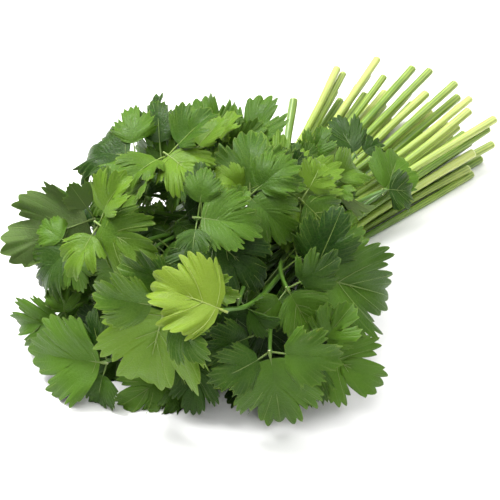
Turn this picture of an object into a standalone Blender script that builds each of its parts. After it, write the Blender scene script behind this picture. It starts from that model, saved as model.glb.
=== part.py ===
"""Flat-leaf parsley bunch, lying on a surface with its leafy head towards -Y and its cut ends towards +Y.

Every sprig is one grown piece and one object: a stem, its leaflet stalks and its toothed leaflets, fused.
The stems pass side by side through a narrow waist, fan out to the cut ends behind it and carry the head
of leaves in front of it. Lengths are in millimetres from a point on the surface under the head, until
mesh_object() turns them into metres from ORIGIN, which is under the middle of the whole bunch.
"""

import math
import random
from dataclasses import dataclass

import bmesh
import bpy
import numpy as np
from mathutils import Matrix, Vector
from mathutils.bvhtree import BVHTree

MM = 0.001
ORIGIN = Vector((3.3, 30.7, 0.0))

# Stems
STEM_SIDES = 5
CUT_RADIUS = 2.25
WAIST_RADIUS = 1.6
BASE_RADIUS = 0.85
STEM_GAP = 0.55
WAIST = Vector((-13.0, 52.0, 0.0))
WAIST_PITCH = 4.0
WAIST_ROWS = (10, 10, 10, 10, 10, 10)
ROW_RISE = 3.7
FAN_LENGTH = 119.0
FAN_LENGTH_SPREAD = 13.0
FAN_SPREAD = 2.55
FAN_SHIFT = -5.0
FAN_ARC = 0.26
FAN_RISE = 2.2
FAN_SWAY = 2.2
END_SWAY = 4.0
END_LIFT = 3.0
FAN_RINGS = 3
HEAD_RINGS = 5
END_PULL = 0.5
SPREAD_ROUNDS = 240
STIFFNESS = 0.004
PUSH_SHARE = 0.5
PUSH_GAIN = 1.3
LEVEL = 1e-3
SAG = 0.03

# Leaflets
TOOTH_TIPS = ((0.0, 1.0), (0.19, 0.9), (0.45, 0.8), (0.66, 0.74), (0.9, 0.6))
NOTCHES = ((0.1, 0.88), (0.31, 0.6), (0.55, 0.72), (0.76, 0.52))
SIDE_CORNER = (1.0, 0.38)
FIRST_SINUS, LAST_SINUS = 6, 12
BLADE_HALF_THICKNESS = 0.5
STALK_HALF_WIDTH = 0.62
STALK_SINK = 0.3
RIB_SPREAD = 0.62
RIB_REACH = 0.44
SIDE_RIB_REACH = 0.36
END_SINK = 1.5
END_STALK = 3.0
FIRST_PAIR = 2.5
PAIR_SPACING = 21.0
PAIR_ANGLE = 64.0
PAIR_STALK = 7.0
PAIR_STALK_GROWTH = 5.0
GUARD_THICKNESS = 1.9
GUARD_OUTLINE = 1.03
FRONT_SHARE = 0.3
TRIES = 70
FIRST_SWING = 3.0
SWING_GROWTH = 42.0
SHRINK = 0.45
HALF_ANGLES = (60.0, 74.0)
LOBE_DEPTHS = (-0.06, 0.06)
TOOTH_DEPTHS = (-0.02, 0.03)
LEANS = (-0.06, 0.06)
FOLDS = (0.0, 0.45)
DROOPS = (0.15, 1.0)
PLEATS = (0.01, 0.04)
CUPS = (-0.2, 0.5)

TINTS = {
    "deep": (0.035, 0.12, 0.018, 1.0),
    "mid": (0.07, 0.21, 0.03, 1.0),
    "bright": (0.13, 0.33, 0.05, 1.0),
    "yellow": (0.28, 0.45, 0.05, 1.0),
}
LEAF_ROUGHNESS = 0.45
SLIVER = 0.004
HEAD_CORE = Vector((-4.0, -8.0, 8.0))
FRONT = Vector((0.5, -0.6, 0.6))


@dataclass
class Sprig:
    """One sprig: where its end leaflet starts, which way that leaflet points and faces, and how big it is.

    heading turns from -Y towards +X and pitch is above the horizon. roll turns the leaf about its own
    length, from facing away from the middle of the head. pairs counts the pairs of side leaflets. lobes
    deepens the cuts between the lobes. cut is where a stray stem ends, when it lies apart from the fan.
    """

    name: str
    base: tuple
    heading: float
    pitch: float
    roll: float
    length: float
    pairs: int = 1
    side_scale: float = 0.8
    lobes: float = 0.0
    tint: str = "mid"
    cut: tuple = ()


SPRIGS = [
    # the top of the head, from left to right
    Sprig("left_broad", (-49, -57, 57), -44, -20, 150, 43, 1, 0.5, lobes=-0.06),
    Sprig("left_upper", (-48, -29, 79), -66, -2, 0, 34, 0, lobes=-0.04),
    Sprig("back_left", (-56, 2, 57), -110, 62, 0, 32, 1, 0.7, lobes=0.06),
    Sprig("crown_back", (-36, 18, 59), -100, 62, 0, 33, 1, 0.7),
    Sprig("crown_far", (-26, 28, 58), -165, 62, 4, 33, 1, 0.7, lobes=0.06),
    Sprig("crown_bright", (10, -12, 74), -140, 35, -10, 33, 1, 0.7, tint="bright"),
    Sprig("crown_light", (-26, -28, 89), 80, 2, -10, 29, 1, tint="bright"),
    Sprig("crown_narrow", (-24, -38, 86), 0, -18, 60, 28, 1, 0.6, tint="bright"),
    Sprig("crown_fork", (-26, -74, 76), 85, -4, 10, 32, 1, 0.7, lobes=0.1, tint="bright"),
    Sprig("left_middle", (-12, -74, 66), 0, -46, 0, 29, 1),
    Sprig("centre_yellow", (52, -80, 72), -55, 26, 15, 34, 0, lobes=-0.06, tint="yellow"),
    Sprig("centre_shade", (-14, -36, 60), 70, -8, 0, 22, 1, tint="deep"),
    Sprig("middle_smooth", (15, -53, 87), 126, -4, -12, 29, 1, 0.6),
    Sprig("middle_dark", (16, -46, 73), 100, -20, 0, 36, 1, 0.7),
    Sprig("right_crown", (12, 8, 62), 160, 4, 0, 38, 1, 0.9, tint="bright"),
    Sprig("right_yellow", (28, 4, 70), 122, -42, -20, 31, 1, 0.6, tint="bright"),
    Sprig("crown_middle", (18, -22, 82), 95, -24, 0, 29, 1),
    Sprig("right_broad", (56, -22, 56), 128, -14, 0, 44, 1, 0.7, lobes=-0.06),
    Sprig("right_fold", (55, -39, 58), 122, -54, 0, 30, 1, 0.7),
    # the front of the head, hanging towards the surface
    Sprig("front_broad", (28, -90, 66), -30, -74, 0, 48, 1, 0.6, lobes=-0.05, tint="bright"),
    Sprig("front_hanging", (42, -58, 56), 40, -70, 0, 29, 1, tint="deep"),
    Sprig("front_right", (65, -64, 43), 66, -68, 0, 39, 0),
    Sprig("right_fingers", (71, -37, 31), 120, -26, 5, 35, 0, lobes=0.1),
    Sprig("left_lower", (-44, -76, 54), -24, -34, 0, 30, 1, 0.6),
    Sprig("left_fingers", (-40, -88, 20), -52, -6, 0, 27, 1, 0.9, lobes=0.1),
    Sprig("front_left", (-6, -96, 20), -70, -12, 0, 40, 1, 0.5),
    Sprig("front_low", (14, -76, 10), -5, -6, 0, 27, 1),
    # round the waist, over the stems
    Sprig("waist_dark", (2, 80, 44), -110, 34, 0, 24, 1, 0.6, lobes=0.08, tint="deep"),
    Sprig("waist_upright", (24, 76, 34), -170, 30, 0, 28, 0, lobes=-0.1),
    Sprig("waist_right", (27, 73, 38), 148, -16, 0, 20, 0, lobes=0.08),
    Sprig("waist_pale", (14, 42, 50), 140, -34, 130, 27, 1, 0.7),
    Sprig("waist_low", (20, 40, 40), 152, -50, 0, 25, 1, tint="deep"),
    Sprig("waist_left", (-34, 40, 40), -135, 20, 0, 27, 1, cut=(-68, 118, 36)),
    # the far side and the underside
    Sprig("far_upper", (-56, -4, 44), -110, -10, 0, 33, 2),
    Sprig("far_middle", (-48, 16, 26), -125, -20, 0, 33, 2, tint="deep"),
    Sprig("far_lower", (-56, -34, 22), -85, -15, 0, 33, 2, tint="deep"),
    Sprig("far_front", (-38, -70, 26), -50, -12, 0, 25, 0),
    Sprig("under_left", (-28, -44, 9), -38, -2, 172, 33, 2, tint="deep"),
    Sprig("under_front", (6, -62, 9), -12, -2, 174, 33, 2, tint="deep"),
    Sprig("under_right", (34, -38, 8), 50, -4, 180, 34, 2, tint="deep"),
    Sprig("under_back", (36, 4, 10), 90, -5, 180, 32, 1, tint="deep"),
    Sprig("far_back", (-34, -40, 62), -84, -2, 0, 28, 1),
    Sprig("inner_crown", (-28, -16, 52), -70, 8, 0, 29, 1, tint="deep"),
    Sprig("front_base", (-18, -78, 10), -25, -6, 0, 27, 1, tint="deep"),
    Sprig("inner_shade", (31, -40, 43), 6, -50, 0, 28, 1, tint="deep"),
    Sprig("right_middle", (40, -12, 52), 150, -22, 0, 28, 1),
    Sprig("right_low", (44, -6, 24), 100, -30, 0, 22, 0, tint="deep"),
    Sprig("inner_left", (-14, -50, 36), -20, 5, 0, 32, 1, tint="deep"),
    Sprig("inner_front", (14, -66, 42), 15, -15, 0, 32, 1, tint="deep"),
    Sprig("inner_right", (36, -18, 34), 60, 0, 0, 32, 1, tint="deep"),
    Sprig("inner_top", (-10, -4, 56), -60, 25, 0, 31, 1, tint="deep"),
    Sprig("right_back", (36, 12, 34), 135, -24, 0, 30, 1),
    Sprig("crown_edge", (14, 22, 62), -170, 40, 0, 22, 0),
    Sprig("waist_bright", (22, 36, 62), 165, 10, 0, 22, 0, tint="bright"),
    Sprig("left_shade", (-42, -42, 69), -60, -10, 0, 24, 0),
    Sprig("left_dark", (-50, -62, 34), -70, -24, 0, 25, 0, tint="deep"),
    Sprig("centre_small", (-8, -58, 62), 10, -30, 0, 22, 0, tint="deep"),
    Sprig("front_shade", (30, -72, 25), 30, -50, 0, 24, 0, tint="deep"),
    Sprig("right_inner", (44, -44, 40), 70, -50, 0, 24, 0, tint="deep"),
    Sprig("right_under", (46, -16, 15), 110, -12, 0, 25, 1, tint="deep"),
]


def unit(vector):
    """The vector at length 1."""
    return Vector(vector).normalized()


def direction(heading, pitch):
    """The unit vector at a heading from -Y towards +X and a pitch above the horizon, both in degrees."""
    turn, rise = math.radians(heading), math.radians(pitch)
    return Vector((math.sin(turn) * math.cos(rise), -math.cos(turn) * math.cos(rise), math.sin(rise)))


# ---------------------------------------------------------------- stems


def waist_places(sprigs):
    """Where each stem crosses the waist: low leaves take the bottom row. Each row runs from -X to +X."""
    upwards = sorted(range(len(sprigs)), key=lambda i: sprigs[i].base[2])
    places = {}
    first = 0
    for row, count in enumerate(WAIST_ROWS):
        members = sorted(upwards[first : first + count], key=lambda i: sprigs[i].base[0])
        for column, index in enumerate(members):
            across = (column - (len(members) - 1) / 2) * WAIST_PITCH
            places[index] = Vector((across, 0.0, WAIST_RADIUS + row * ROW_RISE)) + WAIST
        first += count
    return [places[i] for i in range(len(sprigs))]


def hermite(start, start_slope, end, end_slope, share):
    """A point on the cubic that leaves start and reaches end with these slopes."""
    square, cube = share**2, share**3
    return (
        start * (2 * cube - 3 * square + 1)
        + start_slope * (cube - 2 * square + share)
        + end * (3 * square - 2 * cube)
        + end_slope * (cube - square)
    )


def first_route(sprig, waist, rng):
    """The rings' centres of one stem, from its cut end through the waist to the base of its end leaflet."""
    reach = FAN_LENGTH + rng.uniform(-FAN_LENGTH_SPREAD, FAN_LENGTH_SPREAD)
    lift = max(0.0, (waist.z - WAIST_RADIUS) * FAN_RISE + rng.uniform(-END_LIFT, END_LIFT))
    across = (waist.x - WAIST.x) * FAN_SPREAD + FAN_SHIFT + rng.uniform(-END_SWAY, END_SWAY)
    cut = Vector((WAIST.x + across, WAIST.y + reach - abs(across) * FAN_ARC, CUT_RADIUS + lift))
    if sprig.cut:
        cut = Vector(sprig.cut)
    base = Vector(sprig.base)
    facing = direction(sprig.heading, sprig.pitch)
    span = (base - waist).length
    through = (unit(waist - cut) + unit(base - waist)).normalized()
    points = [cut]
    for ring in range(1, FAN_RINGS):
        sway = Vector((rng.uniform(-FAN_SWAY, FAN_SWAY), 0.0, rng.uniform(-FAN_SWAY, FAN_SWAY)))
        points.append(cut.lerp(waist, ring / FAN_RINGS) + sway)
    for ring in range(HEAD_RINGS + 1):
        points.append(hermite(waist, through * span, base, facing * span * END_PULL, ring / HEAD_RINGS))
    return [tuple(point) for point in points]


def ring_radii():
    """The stem's radius at each ring: widest where it is cut, thinnest at the leaf."""
    fan = np.linspace(CUT_RADIUS, WAIST_RADIUS, FAN_RINGS, endpoint=False)
    return np.concatenate([fan, np.linspace(WAIST_RADIUS, BASE_RADIUS, HEAD_RINGS + 1)])


def nearest_shares(head, along, other_head, other_along):
    """For pairs of stretches, the shares along both at which they come closest."""
    between = head - other_head
    own, other = (along**2).sum(axis=1), (other_along**2).sum(axis=1)
    cross = (along * other_along).sum(axis=1)
    first, second = (along * between).sum(axis=1), (other_along * between).sum(axis=1)
    area = own * other - cross**2
    level = area < LEVEL * own * other
    share = np.where(level, 0.5, (cross * second - first * other) / np.where(level, 1.0, area))
    share = np.clip(share, 0.0, 1.0)
    other_share = np.clip((cross * share + second) / other, 0.0, 1.0)
    share = np.clip((cross * other_share - first) / own, 0.0, 1.0)
    return share[:, None], other_share[:, None]


def spread_stems(routes, radii):
    """Pushes stems that touch apart, as they lie in a real bunch, and lifts what is under the surface."""
    points = np.array(routes)
    stems, rings, _ = points.shape
    first = (np.arange(stems)[:, None] * rings + np.arange(rings - 1)).reshape(-1)
    one, two = np.triu_indices(len(first), 1)
    apart = first[one] // rings != first[two] // rings
    one, two = first[one[apart]], first[two[apart]]
    thick = np.tile(radii, stems)[:, None]
    free = np.ones((stems, rings, 1))
    free[:, -1] = 0.0
    free = free.reshape(-1, 1)
    floor = (radii * math.cos(math.pi / STEM_SIDES))[None, :]
    for _ in range(SPREAD_ROUNDS):
        flat = points.reshape(-1, 3)
        along, other_along = flat[one + 1] - flat[one], flat[two + 1] - flat[two]
        share, other_share = nearest_shares(flat[one], along, flat[two], other_along)
        offset = flat[one] + along * share - flat[two] - other_along * other_share
        distance = np.sqrt((offset**2).sum(axis=1))[:, None] + 1e-9
        wanted = STEM_GAP + thick[one] + (thick[one + 1] - thick[one]) * share
        wanted = wanted + thick[two] + (thick[two + 1] - thick[two]) * other_share
        close = (distance < wanted)[:, 0]
        push = ((wanted - distance) / distance * offset)[close] * PUSH_SHARE
        share, other_share = share[close], other_share[close]
        move, count = np.zeros_like(flat), np.zeros((len(flat), 1))
        for ends, amount in (
            (one[close], 1 - share),
            (one[close] + 1, share),
            (two[close], other_share - 1),
            (two[close] + 1, -other_share),
        ):
            np.add.at(move, ends, push * amount)
            np.add.at(count, ends, abs(amount))
        points = (flat + PUSH_GAIN * move / np.maximum(count, 1.0) * free).reshape(points.shape)
        middle = 0.5 * (points[:, :-2] + points[:, 2:])
        points[:, 1:-1] += STIFFNESS * (middle - points[:, 1:-1])
        points[:, : FAN_RINGS + 1, 2] -= SAG
        points[:, :, 2] = np.maximum(points[:, :, 2], floor)
    return points


def stem_mesh(route, radii):
    """A tube of STEM_SIDES flat sides along the route. One side faces down where the route is level."""
    centres = [Vector(point) for point in route]
    down = Vector((0.0, 0.0, -1.0))
    vertices, faces = [], []
    tangent = None
    for ring, centre in enumerate(centres):
        ahead = unit(centres[min(ring + 1, len(centres) - 1)] - centres[max(ring - 1, 0)])
        if tangent is not None:
            down = tangent.rotation_difference(ahead) @ down
        tangent = ahead
        down = (down - tangent * down.dot(tangent)).normalized()
        side = tangent.cross(down)
        for corner in range(STEM_SIDES):
            angle = (corner + 0.5) * 2 * math.pi / STEM_SIDES
            vertices.append(centre + (down * math.cos(angle) + side * math.sin(angle)) * radii[ring])
    for ring in range(len(centres) - 1):
        for corner in range(STEM_SIDES):
            after = (corner + 1) % STEM_SIDES
            a, b = ring * STEM_SIDES + corner, ring * STEM_SIDES + after
            faces.append((a, b, b + STEM_SIDES, a + STEM_SIDES))
    last = (len(centres) - 1) * STEM_SIDES
    faces.append(tuple(reversed(range(STEM_SIDES))))
    faces.append(tuple(last + corner for corner in range(STEM_SIDES)))
    return vertices, faces


# ---------------------------------------------------------------- leaflets


@dataclass
class LeafletShape:
    """One leaflet's outline and curvature. Lengths are shares of its length, apart from the stalk's."""

    length: float
    stalk: float
    half_angle: float
    lobe_depth: float
    tooth_depth: float
    lean: float
    fold: float
    droop: float
    pleat: float
    left_cup: float
    right_cup: float


def draw_shape(length, stalk, lobes, rng):
    """A leaflet shape with the small differences that leaflets have."""
    return LeafletShape(
        length=length,
        stalk=stalk,
        half_angle=math.radians(rng.uniform(*HALF_ANGLES)),
        lobe_depth=lobes + rng.uniform(*LOBE_DEPTHS),
        tooth_depth=rng.uniform(*TOOTH_DEPTHS),
        lean=rng.uniform(*LEANS),
        fold=rng.uniform(*FOLDS),
        droop=rng.uniform(*DROOPS),
        pleat=rng.uniform(*PLEATS),
        left_cup=rng.uniform(*CUPS),
        right_cup=rng.uniform(*CUPS),
    )


def margin_knots(shape):
    """The outline as (across, reach) pairs from side corner to side corner, tips and notches in turn."""
    half = []
    for (tip_across, tip_reach), (across, reach) in zip(TOOTH_TIPS, NOTCHES):
        cut = shape.lobe_depth if across == NOTCHES[1][0] else shape.tooth_depth
        half += [(tip_across, tip_reach), (across, reach - cut)]
    half += [TOOTH_TIPS[-1], SIDE_CORNER]
    whole = [(-across, reach) for across, reach in reversed(half[1:])] + half
    return [(across, reach * (1 + shape.lean * across)) for across, reach in whole]


def blade_point(shape, across, reach):
    """A point of the blade's middle surface in the leaflet's frame: Y to the tip, Z the upper side."""
    turn = across * shape.half_angle
    x, y = reach * math.sin(turn), reach * math.cos(turn)
    cup = shape.left_cup if across < 0 else shape.right_cup
    z = shape.fold * abs(x) - shape.pleat * reach * math.cos(across * math.pi / RIB_SPREAD)
    z -= cup * (across * reach) ** 2
    bend = shape.droop * y
    arch = 1 / shape.droop
    y, z = (arch + z) * math.sin(bend), (arch + z) * math.cos(bend) - arch
    return Vector((x * shape.length, y * shape.length + shape.stalk, z * shape.length))


def leaflet_mesh(shape, thickness=1.0, outline=1.0):
    """A closed leaflet on its stalk, with each vertex's share of the thickness above the middle surface.

    The blade is thickest along its three ribs and thins to its margin. Both faces split alike.
    """
    half = BLADE_HALF_THICKNESS * thickness
    wide = STALK_HALF_WIDTH * outline
    points, levels = [], []

    def add(point, level):
        points.append(point + Vector((0.0, 0.0, level * half)))
        levels.append(level)
        return len(points) - 1

    root, neck = Vector((0.0, -STALK_SINK, 0.0)), Vector((0.0, shape.stalk, 0.0))
    ends = []
    for place in (root, neck):
        left = add(place + Vector((-wide, 0, 0)), 0)
        top = add(place, 1)
        right = add(place + Vector((wide, 0, 0)), 0)
        under = add(place, -1)
        ends.append((left, top, right, under))
    ribs = [
        blade_point(shape, -RIB_SPREAD, SIDE_RIB_REACH),
        blade_point(shape, 0.0, RIB_REACH),
        blade_point(shape, RIB_SPREAD, SIDE_RIB_REACH),
    ]
    over = [add(rib, 1) for rib in ribs]
    below = [add(rib, -1) for rib in ribs]
    margin = [add(blade_point(shape, across, reach * outline), 0) for across, reach in margin_knots(shape)]
    left, top, right, under = ends[1]
    faces = []
    for face_ribs, spine, flip in ((over, top, False), (below, under, True)):
        side = [(left, spine, face_ribs[0]), (left, face_ribs[0], margin[0])]
        side += [(spine, face_ribs[1], face_ribs[0]), (spine, face_ribs[2], face_ribs[1])]
        side += [(spine, right, face_ribs[2]), (right, margin[-1], face_ribs[2])]
        side.append((face_ribs[0], face_ribs[1], margin[FIRST_SINUS]))
        side.append((face_ribs[1], face_ribs[2], margin[LAST_SINUS]))
        for knot in range(len(margin) - 1):
            rib = 0 if knot < FIRST_SINUS else 1 if knot < LAST_SINUS else 2
            side.append((face_ribs[rib], margin[knot + 1], margin[knot]))
        faces += [face[::-1] for face in side] if flip else side
    a, b = ends
    for corner in range(4):
        after = (corner + 1) % 4
        faces += [(a[corner], a[after], b[after]), (a[corner], b[after], b[corner])]
    faces += [(a[0], a[2], a[1]), (a[0], a[3], a[2])]
    return points, levels, faces


@dataclass
class Placed:
    """One leaflet in place: its vertices, its faces, and the trees that tell what crosses it."""

    owner: int
    vertices: list
    faces: list
    blade: BVHTree
    whole: BVHTree
    middle: Vector
    radius: float


def leaf_frame(root, towards, facing):
    """The matrix that puts a leaflet at root, with Y along towards and Z as near to facing as it can."""
    along = unit(towards)
    up = unit(facing - along * facing.dot(along))
    across = along.cross(up)
    return Matrix.Translation(root) @ Matrix((across, along, up)).transposed().to_4x4()


def rest_on_surface(point, level, half):
    """A leaf that would pass through the surface lies on it instead, at its own thickness."""
    lowest = (1 + level) * half
    return Vector((point.x, point.y, max(point.z, lowest)))


def place_leaflet(owner, shape, frame, margin=False):
    """The leaflet at frame. With margin, it is the slightly larger one that others keep clear of."""
    thickness, outline = (GUARD_THICKNESS, GUARD_OUTLINE) if margin else (1.0, 1.0)
    points, levels, faces = leaflet_mesh(shape, thickness, outline)
    vertices = [
        rest_on_surface(frame @ point, level, BLADE_HALF_THICKNESS) for point, level in zip(points, levels)
    ]
    blade_faces = [face for face in faces if min(face) >= 4]
    middle = sum(vertices, Vector()) / len(vertices)
    return Placed(
        owner,
        vertices,
        faces,
        BVHTree.FromPolygons(vertices, blade_faces, all_triangles=True),
        BVHTree.FromPolygons(vertices, faces, all_triangles=True),
        middle,
        max((vertex - middle).length for vertex in vertices),
    )


def crosses(candidate, placed, stems, stem_owner):
    """Whether a leaflet meets any other sprig's stem or leaflet, or its own sprig's other blades."""
    for _, face in candidate.whole.overlap(stems):
        if stem_owner[face] != candidate.owner:
            return True
    for other in placed:
        if (candidate.middle - other.middle).length > candidate.radius + other.radius:
            continue
        if candidate.owner == other.owner:
            if candidate.blade.overlap(other.blade):
                return True
        elif candidate.whole.overlap(other.whole):
            return True
    return False


def tried_frames(root, towards, facing, rng):
    """The wanted frame first, then ones turned and tilted further and further from it."""
    for attempt in range(TRIES):
        swing = FIRST_SWING + SWING_GROWTH * attempt / TRIES
        turns = [math.radians(rng.uniform(-swing, swing)) if attempt else 0.0 for _ in range(3)]
        frame = leaf_frame(root, towards, facing)
        twist = Matrix.Rotation(turns[0], 4, "Z") @ Matrix.Rotation(turns[1], 4, "X")
        size = 1.0 - SHRINK * attempt / TRIES
        yield frame @ twist @ Matrix.Rotation(turns[2], 4, "Y"), size


def leaflet_plan(sprig, route):
    """(root, towards, facing, length, stalk, rank) for each leaflet of a sprig, the end one first."""
    base = Vector(route[-1])
    along = direction(sprig.heading, sprig.pitch)
    outward = unit(base - Vector((HEAD_CORE.x, max(HEAD_CORE.y, base.y), HEAD_CORE.z)))
    outward += FRONT * max(0.0, outward.dot(FRONT) + FRONT_SHARE)
    outward = unit(outward - along * outward.dot(along))
    facing = Matrix.Rotation(math.radians(sprig.roll), 3, along) @ outward
    across = along.cross(facing)
    plan = [(base - along * END_SINK, along, facing, sprig.length, END_STALK, 0)]
    for pair in range(sprig.pairs):
        back = FIRST_PAIR + pair * PAIR_SPACING
        root, rachis = point_back_along(route, back)
        for side in (-1, 1):
            spread = math.radians(PAIR_ANGLE)
            towards = rachis * math.cos(spread) + across * side * math.sin(spread)
            length = sprig.length * sprig.side_scale
            plan.append((root, towards, facing, length, PAIR_STALK + PAIR_STALK_GROWTH * pair, 1 + pair))
    return plan


def point_back_along(route, distance):
    """The point on a stem this far back from its leaf end, and the stem's direction there."""
    for ring in range(len(route) - 1, 0, -1):
        end, start = Vector(route[ring]), Vector(route[ring - 1])
        length = (end - start).length
        if distance <= length:
            return end.lerp(start, distance / length), unit(end - start)
        distance -= length
    return Vector(route[0]), unit(Vector(route[1]) - Vector(route[0]))


def grow_leaflets(sprigs, routes, stems, stem_owner):
    """Places every leaflet so that none crosses another sprig: all end leaflets first, then the pairs."""
    waiting = []
    for index, sprig in enumerate(sprigs):
        for number, plan in enumerate(leaflet_plan(sprig, routes[index])):
            waiting.append((plan[5], index, number, plan))
    waiting.sort(key=lambda item: item[:3])
    guards, grown = [], {index: [] for index in range(len(sprigs))}
    for _, index, number, (root, towards, facing, length, stalk, _) in waiting:
        rng = random.Random(f"{sprigs[index].name} {number}")
        shape = draw_shape(length, stalk, sprigs[index].lobes, rng)
        for frame, size in tried_frames(root, towards, facing, rng):
            shape.length = length * size
            guard = place_leaflet(index, shape, frame, margin=True)
            if not crosses(guard, guards, stems, stem_owner):
                guards.append(guard)
                grown[index].append(place_leaflet(index, shape, frame))
                break
    return grown


# ---------------------------------------------------------------- objects


def leaf_material(tint):
    """A parsley green, slightly glossy."""
    material = bpy.data.materials.new(tint + "_green")
    material.use_nodes = True
    shader = material.node_tree.nodes["Principled BSDF"]
    shader.inputs["Base Color"].default_value = TINTS[tint]
    shader.inputs["Roughness"].default_value = LEAF_ROUGHNESS
    shader.inputs["Metallic"].default_value = 0.0
    return material


def mesh_object(name, vertices, faces, collection):
    """A mesh object in metres from vertices in millimetres."""
    mesh = bpy.data.meshes.new(name)
    mesh.from_pydata([tuple((vertex - ORIGIN) * MM) for vertex in vertices], [], faces)
    mesh.update()
    made = bpy.data.objects.new(name, mesh)
    collection.objects.link(made)
    return made


def keep_outer_skin(mesh):
    """Keeps the largest skin of a fused sprig, which fills sealed hollows and drops loose scraps.

    Triangles thinner than SLIVER are collapsed first.
    """
    shape = bmesh.new()
    shape.from_mesh(mesh)
    bmesh.ops.dissolve_degenerate(shape, dist=SLIVER * MM, edges=shape.edges)
    bmesh.ops.triangulate(shape, faces=shape.faces)
    shape.verts.ensure_lookup_table()
    waiting = set(shape.verts)
    skins = []
    while waiting:
        skin, edge_of_skin = set(), [waiting.pop()]
        while edge_of_skin:
            vertex = edge_of_skin.pop()
            skin.add(vertex)
            for edge in vertex.link_edges:
                neighbour = edge.other_vert(vertex)
                if neighbour in waiting:
                    waiting.remove(neighbour)
                    edge_of_skin.append(neighbour)
        skins.append(skin)
    skins.sort(key=len)
    loose = [vertex for skin in skins[:-1] for vertex in skin]
    bmesh.ops.delete(shape, geom=loose, context="VERTS")
    shape.to_mesh(mesh)
    shape.free()


def fuse(name, stem, leaflets, material):
    """One solid from a stem and its leaflets, by one Boolean union on a collection."""
    scene = bpy.context.scene.collection
    parts = bpy.data.collections.new(name + "_leaflets")
    scene.children.link(parts)
    body = mesh_object(name, *stem, scene)
    for number, leaflet in enumerate(leaflets):
        mesh_object(f"{name}_leaflet_{number}", leaflet.vertices, leaflet.faces, parts)
    union = body.modifiers.new("union", "BOOLEAN")
    union.operation = "UNION"
    union.operand_type = "COLLECTION"
    union.collection = parts
    union.solver = "MANIFOLD"
    graph = bpy.context.evaluated_depsgraph_get()
    joined = bpy.data.meshes.new_from_object(body.evaluated_get(graph))
    keep_outer_skin(joined)
    body.modifiers.clear()
    body.data = joined
    joined.materials.clear()
    joined.materials.append(material)
    for leaflet in list(parts.objects):
        bpy.data.objects.remove(leaflet)
    bpy.data.collections.remove(parts)
    return body


def grow_bunch():
    """The routes of the stems, their meshes and every sprig's leaflets."""
    radii = ring_radii()
    places = waist_places(SPRIGS)
    routes = [
        first_route(sprig, place, random.Random(sprig.name)) for sprig, place in zip(SPRIGS, places)
    ]
    routes = spread_stems(routes, radii).tolist()
    stems = [stem_mesh(route, radii) for route in routes]
    vertices, faces, owner = [], [], []
    for index, (points, polygons) in enumerate(stems):
        faces += [tuple(corner + len(vertices) for corner in polygon) for polygon in polygons]
        owner += [index] * len(polygons)
        vertices += points
    tree = BVHTree.FromPolygons(vertices, faces)
    return routes, stems, grow_leaflets(SPRIGS, routes, tree, owner)


def main():
    """Clears the scene and builds the bunch."""
    for thing in list(bpy.data.objects):
        bpy.data.objects.remove(thing)
    _, stems, grown = grow_bunch()
    materials = {tint: leaf_material(tint) for tint in TINTS}
    for index, sprig in enumerate(SPRIGS):
        fuse("sprig_" + sprig.name, stems[index], grown[index], materials[sprig.tint])


if __name__ == "__main__":
    main()
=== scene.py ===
"""A bunch of flat-leaf parsley, dressed: ridged stems, stalks, ribs and toothed, folded leaflets.

Every sprig grows from the same table, sizes and rules as its solid, so each fine stem and leaflet sits
where the solid's is. Lengths are in millimetres from a point on the surface under the head of leaves,
until a finished mesh is turned into metres from ORIGIN.
"""

import logging
import math
import random
from collections import deque
from dataclasses import dataclass, field, replace
from enum import Enum
from typing import Iterator

import bpy
import numpy as np
from mathutils import Matrix, Vector
from mathutils.bvhtree import BVHTree


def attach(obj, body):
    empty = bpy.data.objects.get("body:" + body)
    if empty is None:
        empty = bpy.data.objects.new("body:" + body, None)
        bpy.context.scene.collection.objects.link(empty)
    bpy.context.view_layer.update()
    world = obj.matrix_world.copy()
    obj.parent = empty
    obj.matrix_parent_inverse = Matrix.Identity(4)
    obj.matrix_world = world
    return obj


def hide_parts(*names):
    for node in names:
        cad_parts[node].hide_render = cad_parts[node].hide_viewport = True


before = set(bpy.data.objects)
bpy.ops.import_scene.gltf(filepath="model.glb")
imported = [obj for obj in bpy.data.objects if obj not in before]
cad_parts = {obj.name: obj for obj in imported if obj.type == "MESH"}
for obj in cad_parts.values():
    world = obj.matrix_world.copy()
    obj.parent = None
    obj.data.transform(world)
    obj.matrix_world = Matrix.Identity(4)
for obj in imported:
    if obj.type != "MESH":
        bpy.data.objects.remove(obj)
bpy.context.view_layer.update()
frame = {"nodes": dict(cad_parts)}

LOG = logging.getLogger("parsley")
MM = 0.001
ORIGIN = Vector((3.3, 30.7, 0.0))
STEM_SIDES = 5
HEAD_CORE = Vector((-4.0, -8.0, 8.0))
FRONT = Vector((0.5, -0.6, 0.6))
RIB_SPREAD = 0.62
FILL_RANK = 10
STALK_CORNERS = 4


class Tint(Enum):
    """The greens that a sprig's leaflets come in: the darkest is painted shade, for leaflets inside, under
    and behind the head; the two palest are the leaflets' own lighter greens with painted light, where light
    falls on the crown and shines through the blades.
    """

    DEEP = "deep"
    MID = "mid"
    BRIGHT = "bright"
    YELLOW = "yellow"


@dataclass(frozen=True)
class Sprig:
    """One sprig: where its end leaflet starts, which way that leaflet points and faces, and how big it is.

    heading turns from -Y towards +X, pitch is above the horizon and roll turns the leaf about its own length.
    lobes deepens the cuts between lobes, and cut is where a stray stem ends.
    """

    name: str
    base: tuple
    heading: float
    pitch: float
    roll: float
    length: float
    pairs: int = 1
    side_scale: float = 0.8
    lobes: float = 0.0
    tint: Tint = Tint.MID
    cut: tuple = ()


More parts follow.
